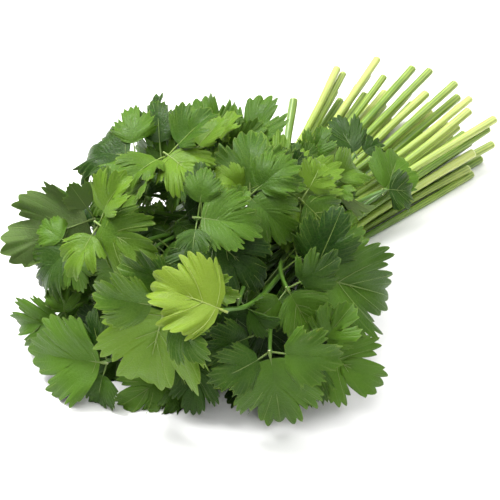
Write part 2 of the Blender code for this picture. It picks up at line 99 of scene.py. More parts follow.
SPRIGS: tuple = (
    # the top of the head, from left to right
    Sprig("left_broad", (-49, -57, 57), -44, -20, 150, 43, 1, 0.5, lobes=-0.06),
    Sprig("left_upper", (-48, -29, 79), -66, -2, 0, 34, 0, lobes=-0.04),
    Sprig("back_left", (-56, 2, 57), -110, 62, 0, 32, 1, 0.7, lobes=0.06),
    Sprig("crown_back", (-36, 18, 59), -100, 62, 0, 33, 1, 0.7),
    Sprig("crown_far", (-26, 28, 58), -165, 62, 4, 33, 1, 0.7, lobes=0.06),
    Sprig("crown_bright", (10, -12, 74), -140, 35, -10, 33, 1, 0.7, tint=Tint.BRIGHT),
    Sprig("crown_light", (-26, -28, 89), 80, 2, -10, 29, 1, tint=Tint.BRIGHT),
    Sprig("crown_narrow", (-24, -38, 86), 0, -18, 60, 28, 1, 0.6, tint=Tint.BRIGHT),
    Sprig("crown_fork", (-26, -74, 76), 85, -4, 10, 32, 1, 0.7, lobes=0.1, tint=Tint.BRIGHT),
    Sprig("left_middle", (-12, -74, 66), 0, -46, 0, 29, 1),
    Sprig("centre_yellow", (52, -80, 72), -55, 26, 15, 34, 0, lobes=-0.06, tint=Tint.YELLOW),
    Sprig("centre_shade", (-14, -36, 60), 70, -8, 0, 22, 1, tint=Tint.DEEP),
    Sprig("middle_smooth", (15, -53, 87), 126, -4, -12, 29, 1, 0.6),
    Sprig("middle_dark", (16, -46, 73), 100, -20, 0, 36, 1, 0.7),
    Sprig("right_crown", (12, 8, 62), 160, 4, 0, 38, 1, 0.9, tint=Tint.BRIGHT),
    Sprig("right_yellow", (28, 4, 70), 122, -42, -20, 31, 1, 0.6, tint=Tint.BRIGHT),
    Sprig("crown_middle", (18, -22, 82), 95, -24, 0, 29, 1),
    Sprig("right_broad", (56, -22, 56), 128, -14, 0, 44, 1, 0.7, lobes=-0.06),
    Sprig("right_fold", (55, -39, 58), 122, -54, 0, 30, 1, 0.7),
    # the front of the head, hanging towards the surface
    Sprig("front_broad", (28, -90, 66), -30, -74, 0, 48, 1, 0.6, lobes=-0.05, tint=Tint.BRIGHT),
    Sprig("front_hanging", (42, -58, 56), 40, -70, 0, 29, 1, tint=Tint.DEEP),
    Sprig("front_right", (65, -64, 43), 66, -68, 0, 39, 0),
    Sprig("right_fingers", (71, -37, 31), 120, -26, 5, 35, 0, lobes=0.1),
    Sprig("left_lower", (-44, -76, 54), -24, -34, 0, 30, 1, 0.6),
    Sprig("left_fingers", (-40, -88, 20), -52, -6, 0, 27, 1, 0.9, lobes=0.1),
    Sprig("front_left", (-6, -96, 20), -70, -12, 0, 40, 1, 0.5),
    Sprig("front_low", (14, -76, 10), -5, -6, 0, 27, 1),
    # round the waist, over the stems
    Sprig("waist_dark", (2, 80, 44), -110, 34, 0, 24, 1, 0.6, lobes=0.08, tint=Tint.DEEP),
    Sprig("waist_upright", (24, 76, 34), -170, 30, 0, 28, 0, lobes=-0.1),
    Sprig("waist_right", (27, 73, 38), 148, -16, 0, 20, 0, lobes=0.08),
    Sprig("waist_pale", (14, 42, 50), 140, -34, 130, 27, 1, 0.7),
    Sprig("waist_low", (20, 40, 40), 152, -50, 0, 25, 1, tint=Tint.DEEP),
    Sprig("waist_left", (-34, 40, 40), -135, 20, 0, 27, 1, cut=(-68, 118, 36)),
    # the far side and the underside
    Sprig("far_upper", (-56, -4, 44), -110, -10, 0, 33, 2),
    Sprig("far_middle", (-48, 16, 26), -125, -20, 0, 33, 2, tint=Tint.DEEP),
    Sprig("far_lower", (-56, -34, 22), -85, -15, 0, 33, 2, tint=Tint.DEEP),
    Sprig("far_front", (-38, -70, 26), -50, -12, 0, 25, 0),
    Sprig("under_left", (-28, -44, 9), -38, -2, 172, 33, 2, tint=Tint.DEEP),
    Sprig("under_front", (6, -62, 9), -12, -2, 174, 33, 2, tint=Tint.DEEP),
    Sprig("under_right", (34, -38, 8), 50, -4, 180, 34, 2, tint=Tint.DEEP),
    Sprig("under_back", (36, 4, 10), 90, -5, 180, 32, 1, tint=Tint.DEEP),
    Sprig("far_back", (-34, -40, 62), -84, -2, 0, 28, 1),
    Sprig("inner_crown", (-28, -16, 52), -70, 8, 0, 29, 1, tint=Tint.DEEP),
    Sprig("front_base", (-18, -78, 10), -25, -6, 0, 27, 1, tint=Tint.DEEP),
    Sprig("inner_shade", (31, -40, 43), 6, -50, 0, 28, 1, tint=Tint.DEEP),
    Sprig("right_middle", (40, -12, 52), 150, -22, 0, 28, 1),
    Sprig("right_low", (44, -6, 24), 100, -30, 0, 22, 0, tint=Tint.DEEP),
    Sprig("inner_left", (-14, -50, 36), -20, 5, 0, 32, 1, tint=Tint.DEEP),
    Sprig("inner_front", (14, -66, 42), 15, -15, 0, 32, 1, tint=Tint.DEEP),
    Sprig("inner_right", (36, -18, 34), 60, 0, 0, 32, 1, tint=Tint.DEEP),
    Sprig("inner_top", (-10, -4, 56), -60, 25, 0, 31, 1, tint=Tint.DEEP),
    Sprig("right_back", (36, 12, 34), 135, -24, 0, 30, 1),
    Sprig("crown_edge", (14, 22, 62), -170, 40, 0, 22, 0),
    Sprig("waist_bright", (22, 36, 62), 165, 10, 0, 22, 0, tint=Tint.BRIGHT),
    Sprig("left_shade", (-42, -42, 69), -60, -10, 0, 24, 0),
    Sprig("left_dark", (-50, -62, 34), -70, -24, 0, 25, 0, tint=Tint.DEEP),
    Sprig("centre_small", (-8, -58, 62), 10, -30, 0, 22, 0, tint=Tint.DEEP),
    Sprig("front_shade", (30, -72, 25), 30, -50, 0, 24, 0, tint=Tint.DEEP),
    Sprig("right_inner", (44, -44, 40), 70, -50, 0, 24, 0, tint=Tint.DEEP),
    Sprig("right_under", (46, -16, 15), 110, -12, 0, 25, 1, tint=Tint.DEEP),
)


def unit(vector: Vector) -> Vector:
    """The vector at length 1."""
    return Vector(vector).normalized()


def direction(heading: float, pitch: float) -> Vector:
    """The unit vector at a heading from -Y towards +X and a pitch above the horizon, both in degrees."""
    turn, rise = math.radians(heading), math.radians(pitch)
    return Vector((math.sin(turn) * math.cos(rise), -math.cos(turn) * math.cos(rise), math.sin(rise)))


def hermite(start: Vector, start_slope: Vector, end: Vector, end_slope: Vector, share: float) -> Vector:
    """A point on the cubic that leaves start and reaches end with these slopes.

    Args:
        start: where the cubic begins.
        start_slope: its slope there.
        end: where it stops.
        end_slope: its slope there.
        share: how far along, from 0 to 1.

    Returns:
        The point.
    """
    square, cube = share**2, share**3
    return (
        start * (2 * cube - 3 * square + 1)
        + start_slope * (cube - 2 * square + share)
        + end * (3 * square - 2 * cube)
        + end_slope * (cube - square)
    )


def point_back_along(route: list, distance: float) -> tuple:
    """A point on a stem and the stem's direction there.

    Args:
        route: the stem's points, from its cut end to its leaf end.
        distance: how far back from the leaf end, in millimetres.

    Returns:
        The point and the unit vector towards the leaf end.
    """
    for ring in range(len(route) - 1, 0, -1):
        end, start = Vector(route[ring]), Vector(route[ring - 1])
        length = (end - start).length
        if distance <= length:
            return end.lerp(start, distance / length), unit(end - start)
        distance -= length
    return Vector(route[0]), unit(Vector(route[1]) - Vector(route[0]))


# ---------------------------------------------------------------- stems


@dataclass
class StemBundle:
    """The stems of all sprigs: gathered at a waist, fanned out behind it and spread into the head."""

    sprigs: tuple
    cut_radius: float = 2.25
    waist_radius: float = 1.6
    base_radius: float = 0.85
    gap: float = 0.55
    waist: Vector = field(default_factory=lambda: Vector((-13.0, 52.0, 0.0)))
    waist_pitch: float = 4.0
    waist_rows: tuple = (10, 10, 10, 10, 10, 10)
    row_rise: float = 3.7
    fan_length: float = 119.0
    fan_length_spread: float = 13.0
    fan_spread: float = 2.55
    fan_shift: float = -5.0
    fan_arc: float = 0.26
    fan_rise: float = 2.2
    fan_sway: float = 2.2
    end_sway: float = 4.0
    end_lift: float = 3.0
    fan_rings: int = 3
    head_rings: int = 5
    end_pull: float = 0.5
    rounds: int = 240
    push_share: float = 0.5
    push_gain: float = 1.3
    stiffness: float = 0.004
    sag: float = 0.03
    parallel: float = 1e-3

    def waist_places(self) -> list:
        """Where each stem crosses the waist: low leaves take the bottom row, and rows run from -X to +X.

        Returns:
            One point for each sprig.
        """
        upwards = sorted(range(len(self.sprigs)), key=lambda i: self.sprigs[i].base[2])
        places = {}
        first = 0
        for row, count in enumerate(self.waist_rows):
            members = sorted(upwards[first : first + count], key=lambda i: self.sprigs[i].base[0])
            for column, index in enumerate(members):
                across = (column - (len(members) - 1) / 2) * self.waist_pitch
                places[index] = Vector((across, 0.0, self.waist_radius + row * self.row_rise)) + self.waist
            first += count
        return [places[i] for i in range(len(self.sprigs))]

    def first_route(self, sprig: Sprig, waist: Vector) -> list:
        """The first course of one stem, before the stems press each other apart.

        Args:
            sprig: the sprig that the stem carries.
            waist: where it crosses the waist.

        Returns:
            Its points, from the cut end through the waist to the end leaflet.
        """
        rng = random.Random(sprig.name)
        reach = self.fan_length + rng.uniform(-self.fan_length_spread, self.fan_length_spread)
        height = waist.z - self.waist_radius
        lift = max(0.0, height * self.fan_rise + rng.uniform(-self.end_lift, self.end_lift))
        across = (waist.x - self.waist.x) * self.fan_spread + self.fan_shift
        across += rng.uniform(-self.end_sway, self.end_sway)
        back = self.waist.y + reach - abs(across) * self.fan_arc
        cut = Vector((self.waist.x + across, back, self.cut_radius + lift))
        if sprig.cut:
            cut = Vector(sprig.cut)
        base = Vector(sprig.base)
        facing = direction(sprig.heading, sprig.pitch)
        span = (base - waist).length
        through = (unit(waist - cut) + unit(base - waist)).normalized()
        points = [cut]
        for ring in range(1, self.fan_rings):
            sway_x = rng.uniform(-self.fan_sway, self.fan_sway)
            sway_z = rng.uniform(-self.fan_sway, self.fan_sway)
            points.append(cut.lerp(waist, ring / self.fan_rings) + Vector((sway_x, 0.0, sway_z)))
        for ring in range(self.head_rings + 1):
            end_slope = facing * span * self.end_pull
            points.append(hermite(waist, through * span, base, end_slope, ring / self.head_rings))
        return [tuple(point) for point in points]

    def radii(self) -> np.ndarray:
        """The radius at each point of a stem: widest where it is cut, thinnest at the leaf."""
        fan = np.linspace(self.cut_radius, self.waist_radius, self.fan_rings, endpoint=False)
        return np.concatenate([fan, np.linspace(self.waist_radius, self.base_radius, self.head_rings + 1)])

    def nearest_shares(
        self, head: np.ndarray, along: np.ndarray, other_head: np.ndarray, other_along: np.ndarray
    ) -> tuple:
        """For pairs of stretches, the shares along both at which they come closest.

        Args:
            head: where the first stretches start.
            along: the first stretches.
            other_head: where the others start.
            other_along: the others.

        Returns:
            Two columns of shares.
        """
        between = head - other_head
        own, other = (along**2).sum(axis=1), (other_along**2).sum(axis=1)
        cross = (along * other_along).sum(axis=1)
        first, second = (along * between).sum(axis=1), (other_along * between).sum(axis=1)
        area = own * other - cross**2
        level = area < self.parallel * own * other
        share = np.where(level, 0.5, (cross * second - first * other) / np.where(level, 1.0, area))
        share = np.clip(share, 0.0, 1.0)
        other_share = np.clip((cross * share + second) / other, 0.0, 1.0)
        share = np.clip((cross * other_share - first) / own, 0.0, 1.0)
        return share[:, None], other_share[:, None]

    def routes(self) -> list:
        """The settled courses of the stems.

        Returns:
            For each sprig, its stem's points from the cut end to the leaf.
        """
        radii = self.radii()
        places = self.waist_places()
        points = np.array([self.first_route(sprig, place) for sprig, place in zip(self.sprigs, places)])
        stems, rings, _ = points.shape
        first = (np.arange(stems)[:, None] * rings + np.arange(rings - 1)).reshape(-1)
        one, two = np.triu_indices(len(first), 1)
        apart = first[one] // rings != first[two] // rings
        one, two = first[one[apart]], first[two[apart]]
        thick = np.tile(radii, stems)[:, None]
        free = np.ones((stems, rings, 1))
        free[:, -1] = 0.0
        free = free.reshape(-1, 1)
        floor = (radii * math.cos(math.pi / STEM_SIDES))[None, :]
        for _ in range(self.rounds):
            flat = points.reshape(-1, 3)
            along, other_along = flat[one + 1] - flat[one], flat[two + 1] - flat[two]
            share, other_share = self.nearest_shares(flat[one], along, flat[two], other_along)
            offset = flat[one] + along * share - flat[two] - other_along * other_share
            distance = np.sqrt((offset**2).sum(axis=1))[:, None] + 1e-9
            wanted = self.gap + thick[one] + (thick[one + 1] - thick[one]) * share
            wanted = wanted + thick[two] + (thick[two + 1] - thick[two]) * other_share
            close = (distance < wanted)[:, 0]
            push = ((wanted - distance) / distance * offset)[close] * self.push_share
            share, other_share = share[close], other_share[close]
            move, count = np.zeros_like(flat), np.zeros((len(flat), 1))
            for ends, amount in (
                (one[close], 1 - share),
                (one[close] + 1, share),
                (two[close], other_share - 1),
                (two[close] + 1, -other_share),
            ):
                np.add.at(move, ends, push * amount)
                np.add.at(count, ends, abs(amount))
            points = (flat + self.push_gain * move / np.maximum(count, 1.0) * free).reshape(points.shape)
            middle = 0.5 * (points[:, :-2] + points[:, 2:])
            points[:, 1:-1] += self.stiffness * (middle - points[:, 1:-1])
            points[:, : self.fan_rings + 1, 2] -= self.sag
            points[:, :, 2] = np.maximum(points[:, :, 2], floor)
        return points.tolist()

    def coarse_tube(self, route: list) -> tuple:
        """The plain tube that leaflets keep clear of.

        Args:
            route: the stem's points.

        Returns:
            Its vertices and faces.
        """
        radii = self.radii()
        centres = [Vector(point) for point in route]
        down = Vector((0.0, 0.0, -1.0))
        vertices, faces = [], []
        tangent = None
        for ring, centre in enumerate(centres):
            ahead = unit(centres[min(ring + 1, len(centres) - 1)] - centres[max(ring - 1, 0)])
            if tangent is not None:
                down = tangent.rotation_difference(ahead) @ down
            tangent = ahead
            down = (down - tangent * down.dot(tangent)).normalized()
            side = tangent.cross(down)
            for corner in range(STEM_SIDES):
                angle = (corner + 0.5) * 2 * math.pi / STEM_SIDES
                vertices.append(centre + (down * math.cos(angle) + side * math.sin(angle)) * radii[ring])
        for ring in range(len(centres) - 1):
            for corner in range(STEM_SIDES):
                after = (corner + 1) % STEM_SIDES
                a, b = ring * STEM_SIDES + corner, ring * STEM_SIDES + after
                faces.append((a, b, b + STEM_SIDES, a + STEM_SIDES))
        last = (len(centres) - 1) * STEM_SIDES
        faces.append(tuple(reversed(range(STEM_SIDES))))
        faces.append(tuple(last + corner for corner in range(STEM_SIDES)))
        return vertices, faces


# ---------------------------------------------------------------- leaflets


@dataclass
class LeafletShape:
    """One leaflet's outline and curvature. Lengths are shares of its length, apart from the stalk's."""

    length: float
    stalk: float
    half_angle: float
    lobe_depth: float
    tooth_depth: float
    lean: float
    fold: float
    droop: float
    pleat: float
    left_cup: float
    right_cup: float

    tips = ((0.0, 1.0), (0.19, 0.9), (0.45, 0.8), (0.66, 0.74), (0.9, 0.6))
    notches = ((0.1, 0.88), (0.31, 0.6), (0.55, 0.72), (0.76, 0.52))
    side_corner = (1.0, 0.38)
    crease = 0.02

    @classmethod
    def drawn(cls, length: float, stalk: float, lobes: float, rng: random.Random) -> "LeafletShape":
        """A leaflet shape with the small differences that leaflets have.

        Args:
            length: from the end of the stalk to the tip.
            stalk: the stalk's length.
            lobes: how much deeper than usual the lobes are cut.
            rng: the source of the differences.

        Returns:
            The shape.
        """
        return cls(
            length=length,
            stalk=stalk,
            half_angle=math.radians(rng.uniform(60, 74)),
            lobe_depth=lobes + rng.uniform(-0.06, 0.06),
            tooth_depth=rng.uniform(-0.02, 0.03),
            lean=rng.uniform(-0.06, 0.06),
            fold=rng.uniform(0.0, 0.45),
            droop=rng.uniform(0.15, 1.0),
            pleat=rng.uniform(0.01, 0.04),
            left_cup=rng.uniform(-0.2, 0.5),
            right_cup=rng.uniform(-0.2, 0.5),
        )

    def knots(self) -> list:
        """The outline from one side corner to the other, tips and notches in turn.

        Returns:
            Pairs of across and reach.
        """
        half = []
        for (tip_across, tip_reach), (across, reach) in zip(self.tips, self.notches):
            cut = self.lobe_depth if across == self.notches[1][0] else self.tooth_depth
            half += [(tip_across, tip_reach), (across, reach - cut)]
        half += [self.tips[-1], self.side_corner]
        whole = [(-across, reach) for across, reach in reversed(half[1:])] + half
        return [(across, reach * (1 + self.lean * across)) for across, reach in whole]

    def surface(self, across: np.ndarray, reach: np.ndarray, lift: np.ndarray) -> np.ndarray:
        """Points of the blade in the leaflet's frame: X across, Y to the tip, Z upper side.

        Args:
            across: shares of the half angle, from -1 to 1.
            reach: shares of the length from the end of the stalk.
            lift: how far each point stands above the middle surface, as a share of the length.

        Returns:
            The points, in millimetres.
        """
        turn = across * self.half_angle
        x, y = reach * np.sin(turn), reach * np.cos(turn)
        z = self.fold * (np.sqrt(x**2 + self.crease**2) - self.crease)
        z = z - self.pleat * reach * np.cos(across * math.pi / RIB_SPREAD) + lift
        z = z - np.where(across < 0, self.left_cup, self.right_cup) * (across * reach) ** 2
        bend = self.droop * y
        arch = 1 / self.droop
        y, z = (arch + z) * np.sin(bend), (arch + z) * np.cos(bend) - arch
        return np.stack([x * self.length, y * self.length + self.stalk, z * self.length], axis=-1)


@dataclass
class CoarseLeaflet:
    """The leaflet as its solid has it, which tells what crosses what."""

    half_thickness: float = 0.5
    stalk_half_width: float = 0.62
    stalk_sink: float = 0.3
    rib_reach: float = 0.44
    side_rib_reach: float = 0.36
    sinuses: tuple = (6, 12)

    def mesh(self, shape: LeafletShape, thickness: float, outline: float) -> tuple:
        """A closed leaflet on its stalk.

        Args:
            shape: its outline and curvature.
            thickness: the share of the usual thickness.
            outline: the share of the usual outline.

        Returns:
            Its vertices, each one's share of the thickness above the middle surface, and its faces.
        """
        half = self.half_thickness * thickness
        wide = self.stalk_half_width * outline
        points, levels = [], []

        def add(point: Vector, level: int) -> int:
            """Adds a vertex and gives its number."""
            points.append(point + Vector((0.0, 0.0, level * half)))
            levels.append(level)
            return len(points) - 1

        def at(across: float, reach: float) -> Vector:
            """A point of the middle surface."""
            turn = across * shape.half_angle
            x, y = reach * math.sin(turn), reach * math.cos(turn)
            z = shape.fold * abs(x) - shape.pleat * reach * math.cos(across * math.pi / RIB_SPREAD)
            z -= (shape.left_cup if across < 0 else shape.right_cup) * (across * reach) ** 2
            bend = shape.droop * y
            arch = 1 / shape.droop
            y, z = (arch + z) * math.sin(bend), (arch + z) * math.cos(bend) - arch
            return Vector((x * shape.length, y * shape.length + shape.stalk, z * shape.length))

        ends = []
        for place in (Vector((0.0, -self.stalk_sink, 0.0)), Vector((0.0, shape.stalk, 0.0))):
            left = add(place + Vector((-wide, 0, 0)), 0)
            top = add(place, 1)
            right = add(place + Vector((wide, 0, 0)), 0)
            under = add(place, -1)
            ends.append((left, top, right, under))
        sides = (-RIB_SPREAD, self.side_rib_reach), (0.0, self.rib_reach), (RIB_SPREAD, self.side_rib_reach)
        ribs = [at(across, reach) for across, reach in sides]
        over = [add(rib, 1) for rib in ribs]
        below = [add(rib, -1) for rib in ribs]
        margin = [add(at(across, reach * outline), 0) for across, reach in shape.knots()]
        left, top, right, under = ends[1]
        first_sinus, last_sinus = self.sinuses
        faces = []
        for face_ribs, spine, flip in ((over, top, False), (below, under, True)):
            side = [(left, spine, face_ribs[0]), (left, face_ribs[0], margin[0])]
            side += [(spine, face_ribs[1], face_ribs[0]), (spine, face_ribs[2], face_ribs[1])]
            side += [(spine, right, face_ribs[2]), (right, margin[-1], face_ribs[2])]
            side.append((face_ribs[0], face_ribs[1], margin[first_sinus]))
            side.append((face_ribs[1], face_ribs[2], margin[last_sinus]))
            for knot in range(len(margin) - 1):
                rib = 0 if knot < first_sinus else 1 if knot < last_sinus else 2
                side.append((face_ribs[rib], margin[knot + 1], margin[knot]))
            faces += [face[::-1] for face in side] if flip else side
        a, b = ends
        for corner in range(STALK_CORNERS):
            after = (corner + 1) % STALK_CORNERS
            faces += [(a[corner], a[after], b[after]), (a[corner], b[after], b[corner])]
        faces += [(a[0], a[2], a[1]), (a[0], a[3], a[2])]
        return points, levels, faces


@dataclass
class Leaflet:
    """One leaflet in place, with the trees that tell what crosses it."""

    owner: int
    shape: LeafletShape
    frame: Matrix
    rank: int
    number: int
    blade: BVHTree
    whole: BVHTree
    middle: Vector
    radius: float


@dataclass(frozen=True)
class Wanted:
    """A leaflet that a sprig would grow: its root on the stem, its direction and facing, and its sizes."""

    owner: int
    rank: int
    number: int
    root: Vector
    towards: Vector
    facing: Vector
    length: float
    stalk: float
    guard: float
    tries: int


@dataclass
class LeafGrowth:
    """Places the leaflets so that none crosses another sprig: end leaflets first, then the side pairs."""

    sprigs: tuple
    routes: list
    bundle: StemBundle
    end_sink: float = 1.5
    end_stalk: float = 3.0
    first_pair: float = 2.5
    pair_spacing: float = 21.0
    pair_angle: float = 64.0
    pair_stalk: float = 7.0
    pair_stalk_growth: float = 5.0
    guard: float = 1.9
    guard_outline: float = 1.03
    tries: int = 70
    first_swing: float = 3.0
    swing_growth: float = 42.0
    shrink: float = 0.45
    fill_guard: float = 0.6
    fill_tries: int = 36
    # the sprigs whose leaflets carry the painted shade get the most fill leaflets, so more dark leaflets fill
    # the inside of the head
    fill_pairs: dict = field(
        default_factory=lambda: {Tint.DEEP: 5, Tint.MID: 4, Tint.BRIGHT: 2, Tint.YELLOW: 0}
    )
    fill_spacing: float = 15.0
    fill_size: float = 0.85
    waist_room: float = -2.0
    front_pull: float = 0.3
    coarse: CoarseLeaflet = field(default_factory=CoarseLeaflet)

    def facing_of(self, sprig: Sprig, base: Vector) -> tuple:
        """Which way a sprig's leaves point and face.

        Args:
            sprig: the sprig.
            base: where its end leaflet starts.

        Returns:
            The unit vectors along the end leaflet and out of its upper side.
        """
        along = direction(sprig.heading, sprig.pitch)
        outward = unit(base - Vector((HEAD_CORE.x, max(HEAD_CORE.y, base.y), HEAD_CORE.z)))
        outward += FRONT * max(0.0, outward.dot(FRONT) + self.front_pull)
        outward = unit(outward - along * outward.dot(along))
        return along, Matrix.Rotation(math.radians(sprig.roll), 3, along) @ outward

    def wanted(self, index: int) -> Iterator[Wanted]:
        """The leaflets of one sprig, the end one first.

        Args:
            index: the sprig's place in the table.

        Yields:
            Each leaflet.
        """
        sprig, route = self.sprigs[index], self.routes[index]
        base = Vector(route[-1])
        along, facing = self.facing_of(sprig, base)
        across = along.cross(facing)
        root = base - along * self.end_sink
        yield Wanted(index, 0, 0, root, along, facing, sprig.length, self.end_stalk, self.guard, self.tries)
        number = 1
        spread = math.radians(self.pair_angle)
        fills = self.fill_pairs[sprig.tint]
        for pair in range(sprig.pairs + fills):
            fill = pair >= sprig.pairs
            back = self.first_pair + min(pair, sprig.pairs) * self.pair_spacing
            back += max(0, pair - sprig.pairs) * self.fill_spacing
            root, rachis = point_back_along(route, back)
            if fill and root.y > self.bundle.waist.y - self.waist_room:
                break
            for side in (-1, 1):
                towards = rachis * math.cos(spread) + across * side * math.sin(spread)
                length = sprig.length * sprig.side_scale
                stalk = self.pair_stalk + self.pair_stalk_growth * pair
                guard, tries = (self.fill_guard, self.fill_tries) if fill else (self.guard, self.tries)
                rank = 1 + pair + (FILL_RANK if fill else 0)
                length = length * self.fill_size if fill else length
                yield Wanted(index, rank, number, root, towards, facing, length, stalk, guard, tries)
                number += 1

    @staticmethod
    def leaf_frame(root: Vector, towards: Vector, facing: Vector) -> Matrix:
        """The matrix of a leaflet's frame.

        Args:
            root: where its stalk starts.
            towards: its Y direction.
            facing: what its Z direction comes nearest to.

        Returns:
            The matrix.
        """
        along = unit(towards)
        up = unit(facing - along * facing.dot(along))
        across = along.cross(up)
        return Matrix.Translation(root) @ Matrix((across, along, up)).transposed().to_4x4()

    def tried_frames(self, want: Wanted, rng: random.Random) -> Iterator[tuple]:
        """The wanted frame first, then ones turned further and further from it, and smaller.

        Args:
            want: the leaflet.
            rng: the source of the turns.

        Yields:
            Each frame and the share of the wanted length.
        """
        for attempt in range(want.tries):
            swing = self.first_swing + self.swing_growth * attempt / self.tries
            turns = [math.radians(rng.uniform(-swing, swing)) if attempt else 0.0 for _ in range(3)]
            matrix = self.leaf_frame(want.root, want.towards, want.facing)
            twist = Matrix.Rotation(turns[0], 4, "Z") @ Matrix.Rotation(turns[1], 4, "X")
            matrix = matrix @ twist @ Matrix.Rotation(turns[2], 4, "Y")
            yield matrix, 1.0 - self.shrink * attempt / self.tries

    def placed(self, want: Wanted, shape: LeafletShape, matrix: Matrix) -> Leaflet:
        """The leaflet at a frame, as the slightly larger one that others keep clear of.

        Args:
            want: the leaflet.
            shape: its outline and curvature.
            matrix: its frame.

        Returns:
            The leaflet.
        """
        points, levels, faces = self.coarse.mesh(shape, want.guard, self.guard_outline)
        half = self.coarse.half_thickness
        vertices = []
        for point, level in zip(points, levels):
            spot = matrix @ point
            vertices.append(Vector((spot.x, spot.y, max(spot.z, (1 + level) * half))))
        middle = sum(vertices, Vector()) / len(vertices)
        apart_from_root = [face for face in faces if min(face) >= STALK_CORNERS]
        return Leaflet(
            owner=want.owner,
            shape=shape,
            frame=matrix,
            rank=want.rank,
            number=want.number,
            blade=BVHTree.FromPolygons(vertices, apart_from_root, all_triangles=True),
            whole=BVHTree.FromPolygons(vertices, faces, all_triangles=True),
            middle=middle,
            radius=max((vertex - middle).length for vertex in vertices),
        )

    @staticmethod
    def crosses(candidate: Leaflet, grown: list, stems: BVHTree, stem_owner: list) -> bool:
        """Whether a leaflet meets another sprig's stem or leaflet, or its own sprig's other blades.

        Args:
            candidate: the leaflet.
            grown: the leaflets that are there.
            stems: the tree of all stems.
            stem_owner: the sprig of each of its faces.

        Returns:
            True if it does.
        """
        for _, face in candidate.whole.overlap(stems):
            if stem_owner[face] != candidate.owner:
                return True
        for other in grown:
            if (candidate.middle - other.middle).length > candidate.radius + other.radius:
                continue
            if candidate.owner == other.owner:
                if candidate.blade.overlap(other.blade):
                    return True
            elif candidate.whole.overlap(other.whole):
                return True
        return False

    def as_fill(self, want: Wanted) -> Wanted:
        """The same leaflet wanted again, smaller and closer to its neighbours."""
        room = {"guard": self.fill_guard, "tries": self.fill_tries}
        return replace(want, rank=want.rank + FILL_RANK, length=want.length * self.fill_size, **room)

    def grow(self) -> dict:
        """Places every leaflet that finds room.

        Returns:
            For each sprig's number, its leaflets.
        """
        vertices, faces, owner = [], [], []
        for index, route in enumerate(self.routes):
            points, polygons = self.bundle.coarse_tube(route)
            faces += [tuple(corner + len(vertices) for corner in polygon) for polygon in polygons]
            owner += [index] * len(polygons)
            vertices += points
        stems = BVHTree.FromPolygons(vertices, faces)
        waiting = [want for index in range(len(self.sprigs)) for want in self.wanted(index)]
        waiting = deque(sorted(waiting, key=lambda want: (want.rank, want.owner, want.number)))
        grown = []
        while waiting:
            want = waiting.popleft()
            sprig = self.sprigs[want.owner]
            rng = random.Random(f"{sprig.name} {want.number}")
            shape = LeafletShape.drawn(want.length, want.stalk, sprig.lobes, rng)
            for matrix, size in self.tried_frames(want, rng):
                shape.length = want.length * size
                leaflet = self.placed(want, shape, matrix)
                if not self.crosses(leaflet, grown, stems, owner):
                    grown.append(leaflet)
                    break
            else:
                if want.rank < FILL_RANK:
                    waiting.append(self.as_fill(want))
        return {index: [one for one in grown if one.owner == index] for index in range(len(self.sprigs))}


@dataclass
class FineMesh:
    """Vertices, faces and attributes that gather into one mesh."""

    vertices: list = field(default_factory=list)
    faces: list = field(default_factory=list)
    tones: list = field(default_factory=list)
    places: list = field(default_factory=list)
    flat: list = field(default_factory=list)
    count: int = 0

    def add(
        self, vertices: np.ndarray, faces: np.ndarray, tones: np.ndarray, places: np.ndarray, flat: np.ndarray
    ) -> None:
        """Adds one closed shape.

        Args:
            vertices: its points, in millimetres.
            faces: its quads.
            tones: shade, nearness to the margin, underside and vein for each vertex.
            places: across and reach for each vertex.
            flat: which faces are shaded flat.
        """
        self.vertices.append(vertices)
        self.faces.append(faces + self.count)
        self.tones.append(tones)
        self.places.append(places)
        self.flat.append(flat)
        self.count += len(vertices)

    def mesh(self, name: str) -> bpy.types.Mesh:
        """The gathered mesh, in metres in the model's frame.

        Args:
            name: the mesh's name.

        Returns:
            The mesh.
        """
        points = (np.concatenate(self.vertices) - np.array(ORIGIN)) * MM
        faces = np.concatenate(self.faces)
        made = bpy.data.meshes.new(name)
        made.from_pydata(points.tolist(), [], faces.tolist())
        made.polygons.foreach_set("use_smooth", ~np.concatenate(self.flat))
        tone = made.attributes.new("tone", "FLOAT_COLOR", "POINT")
        tone.data.foreach_set("color", np.concatenate(self.tones).astype(np.float32).ravel())
        corners = np.zeros(len(made.loops), np.int32)
        made.loops.foreach_get("vertex_index", corners)
        layer = made.uv_layers.new(name="blade")
        layer.uv.foreach_set("vector", np.concatenate(self.places)[corners].astype(np.float32).ravel())
        made.update()
        return made


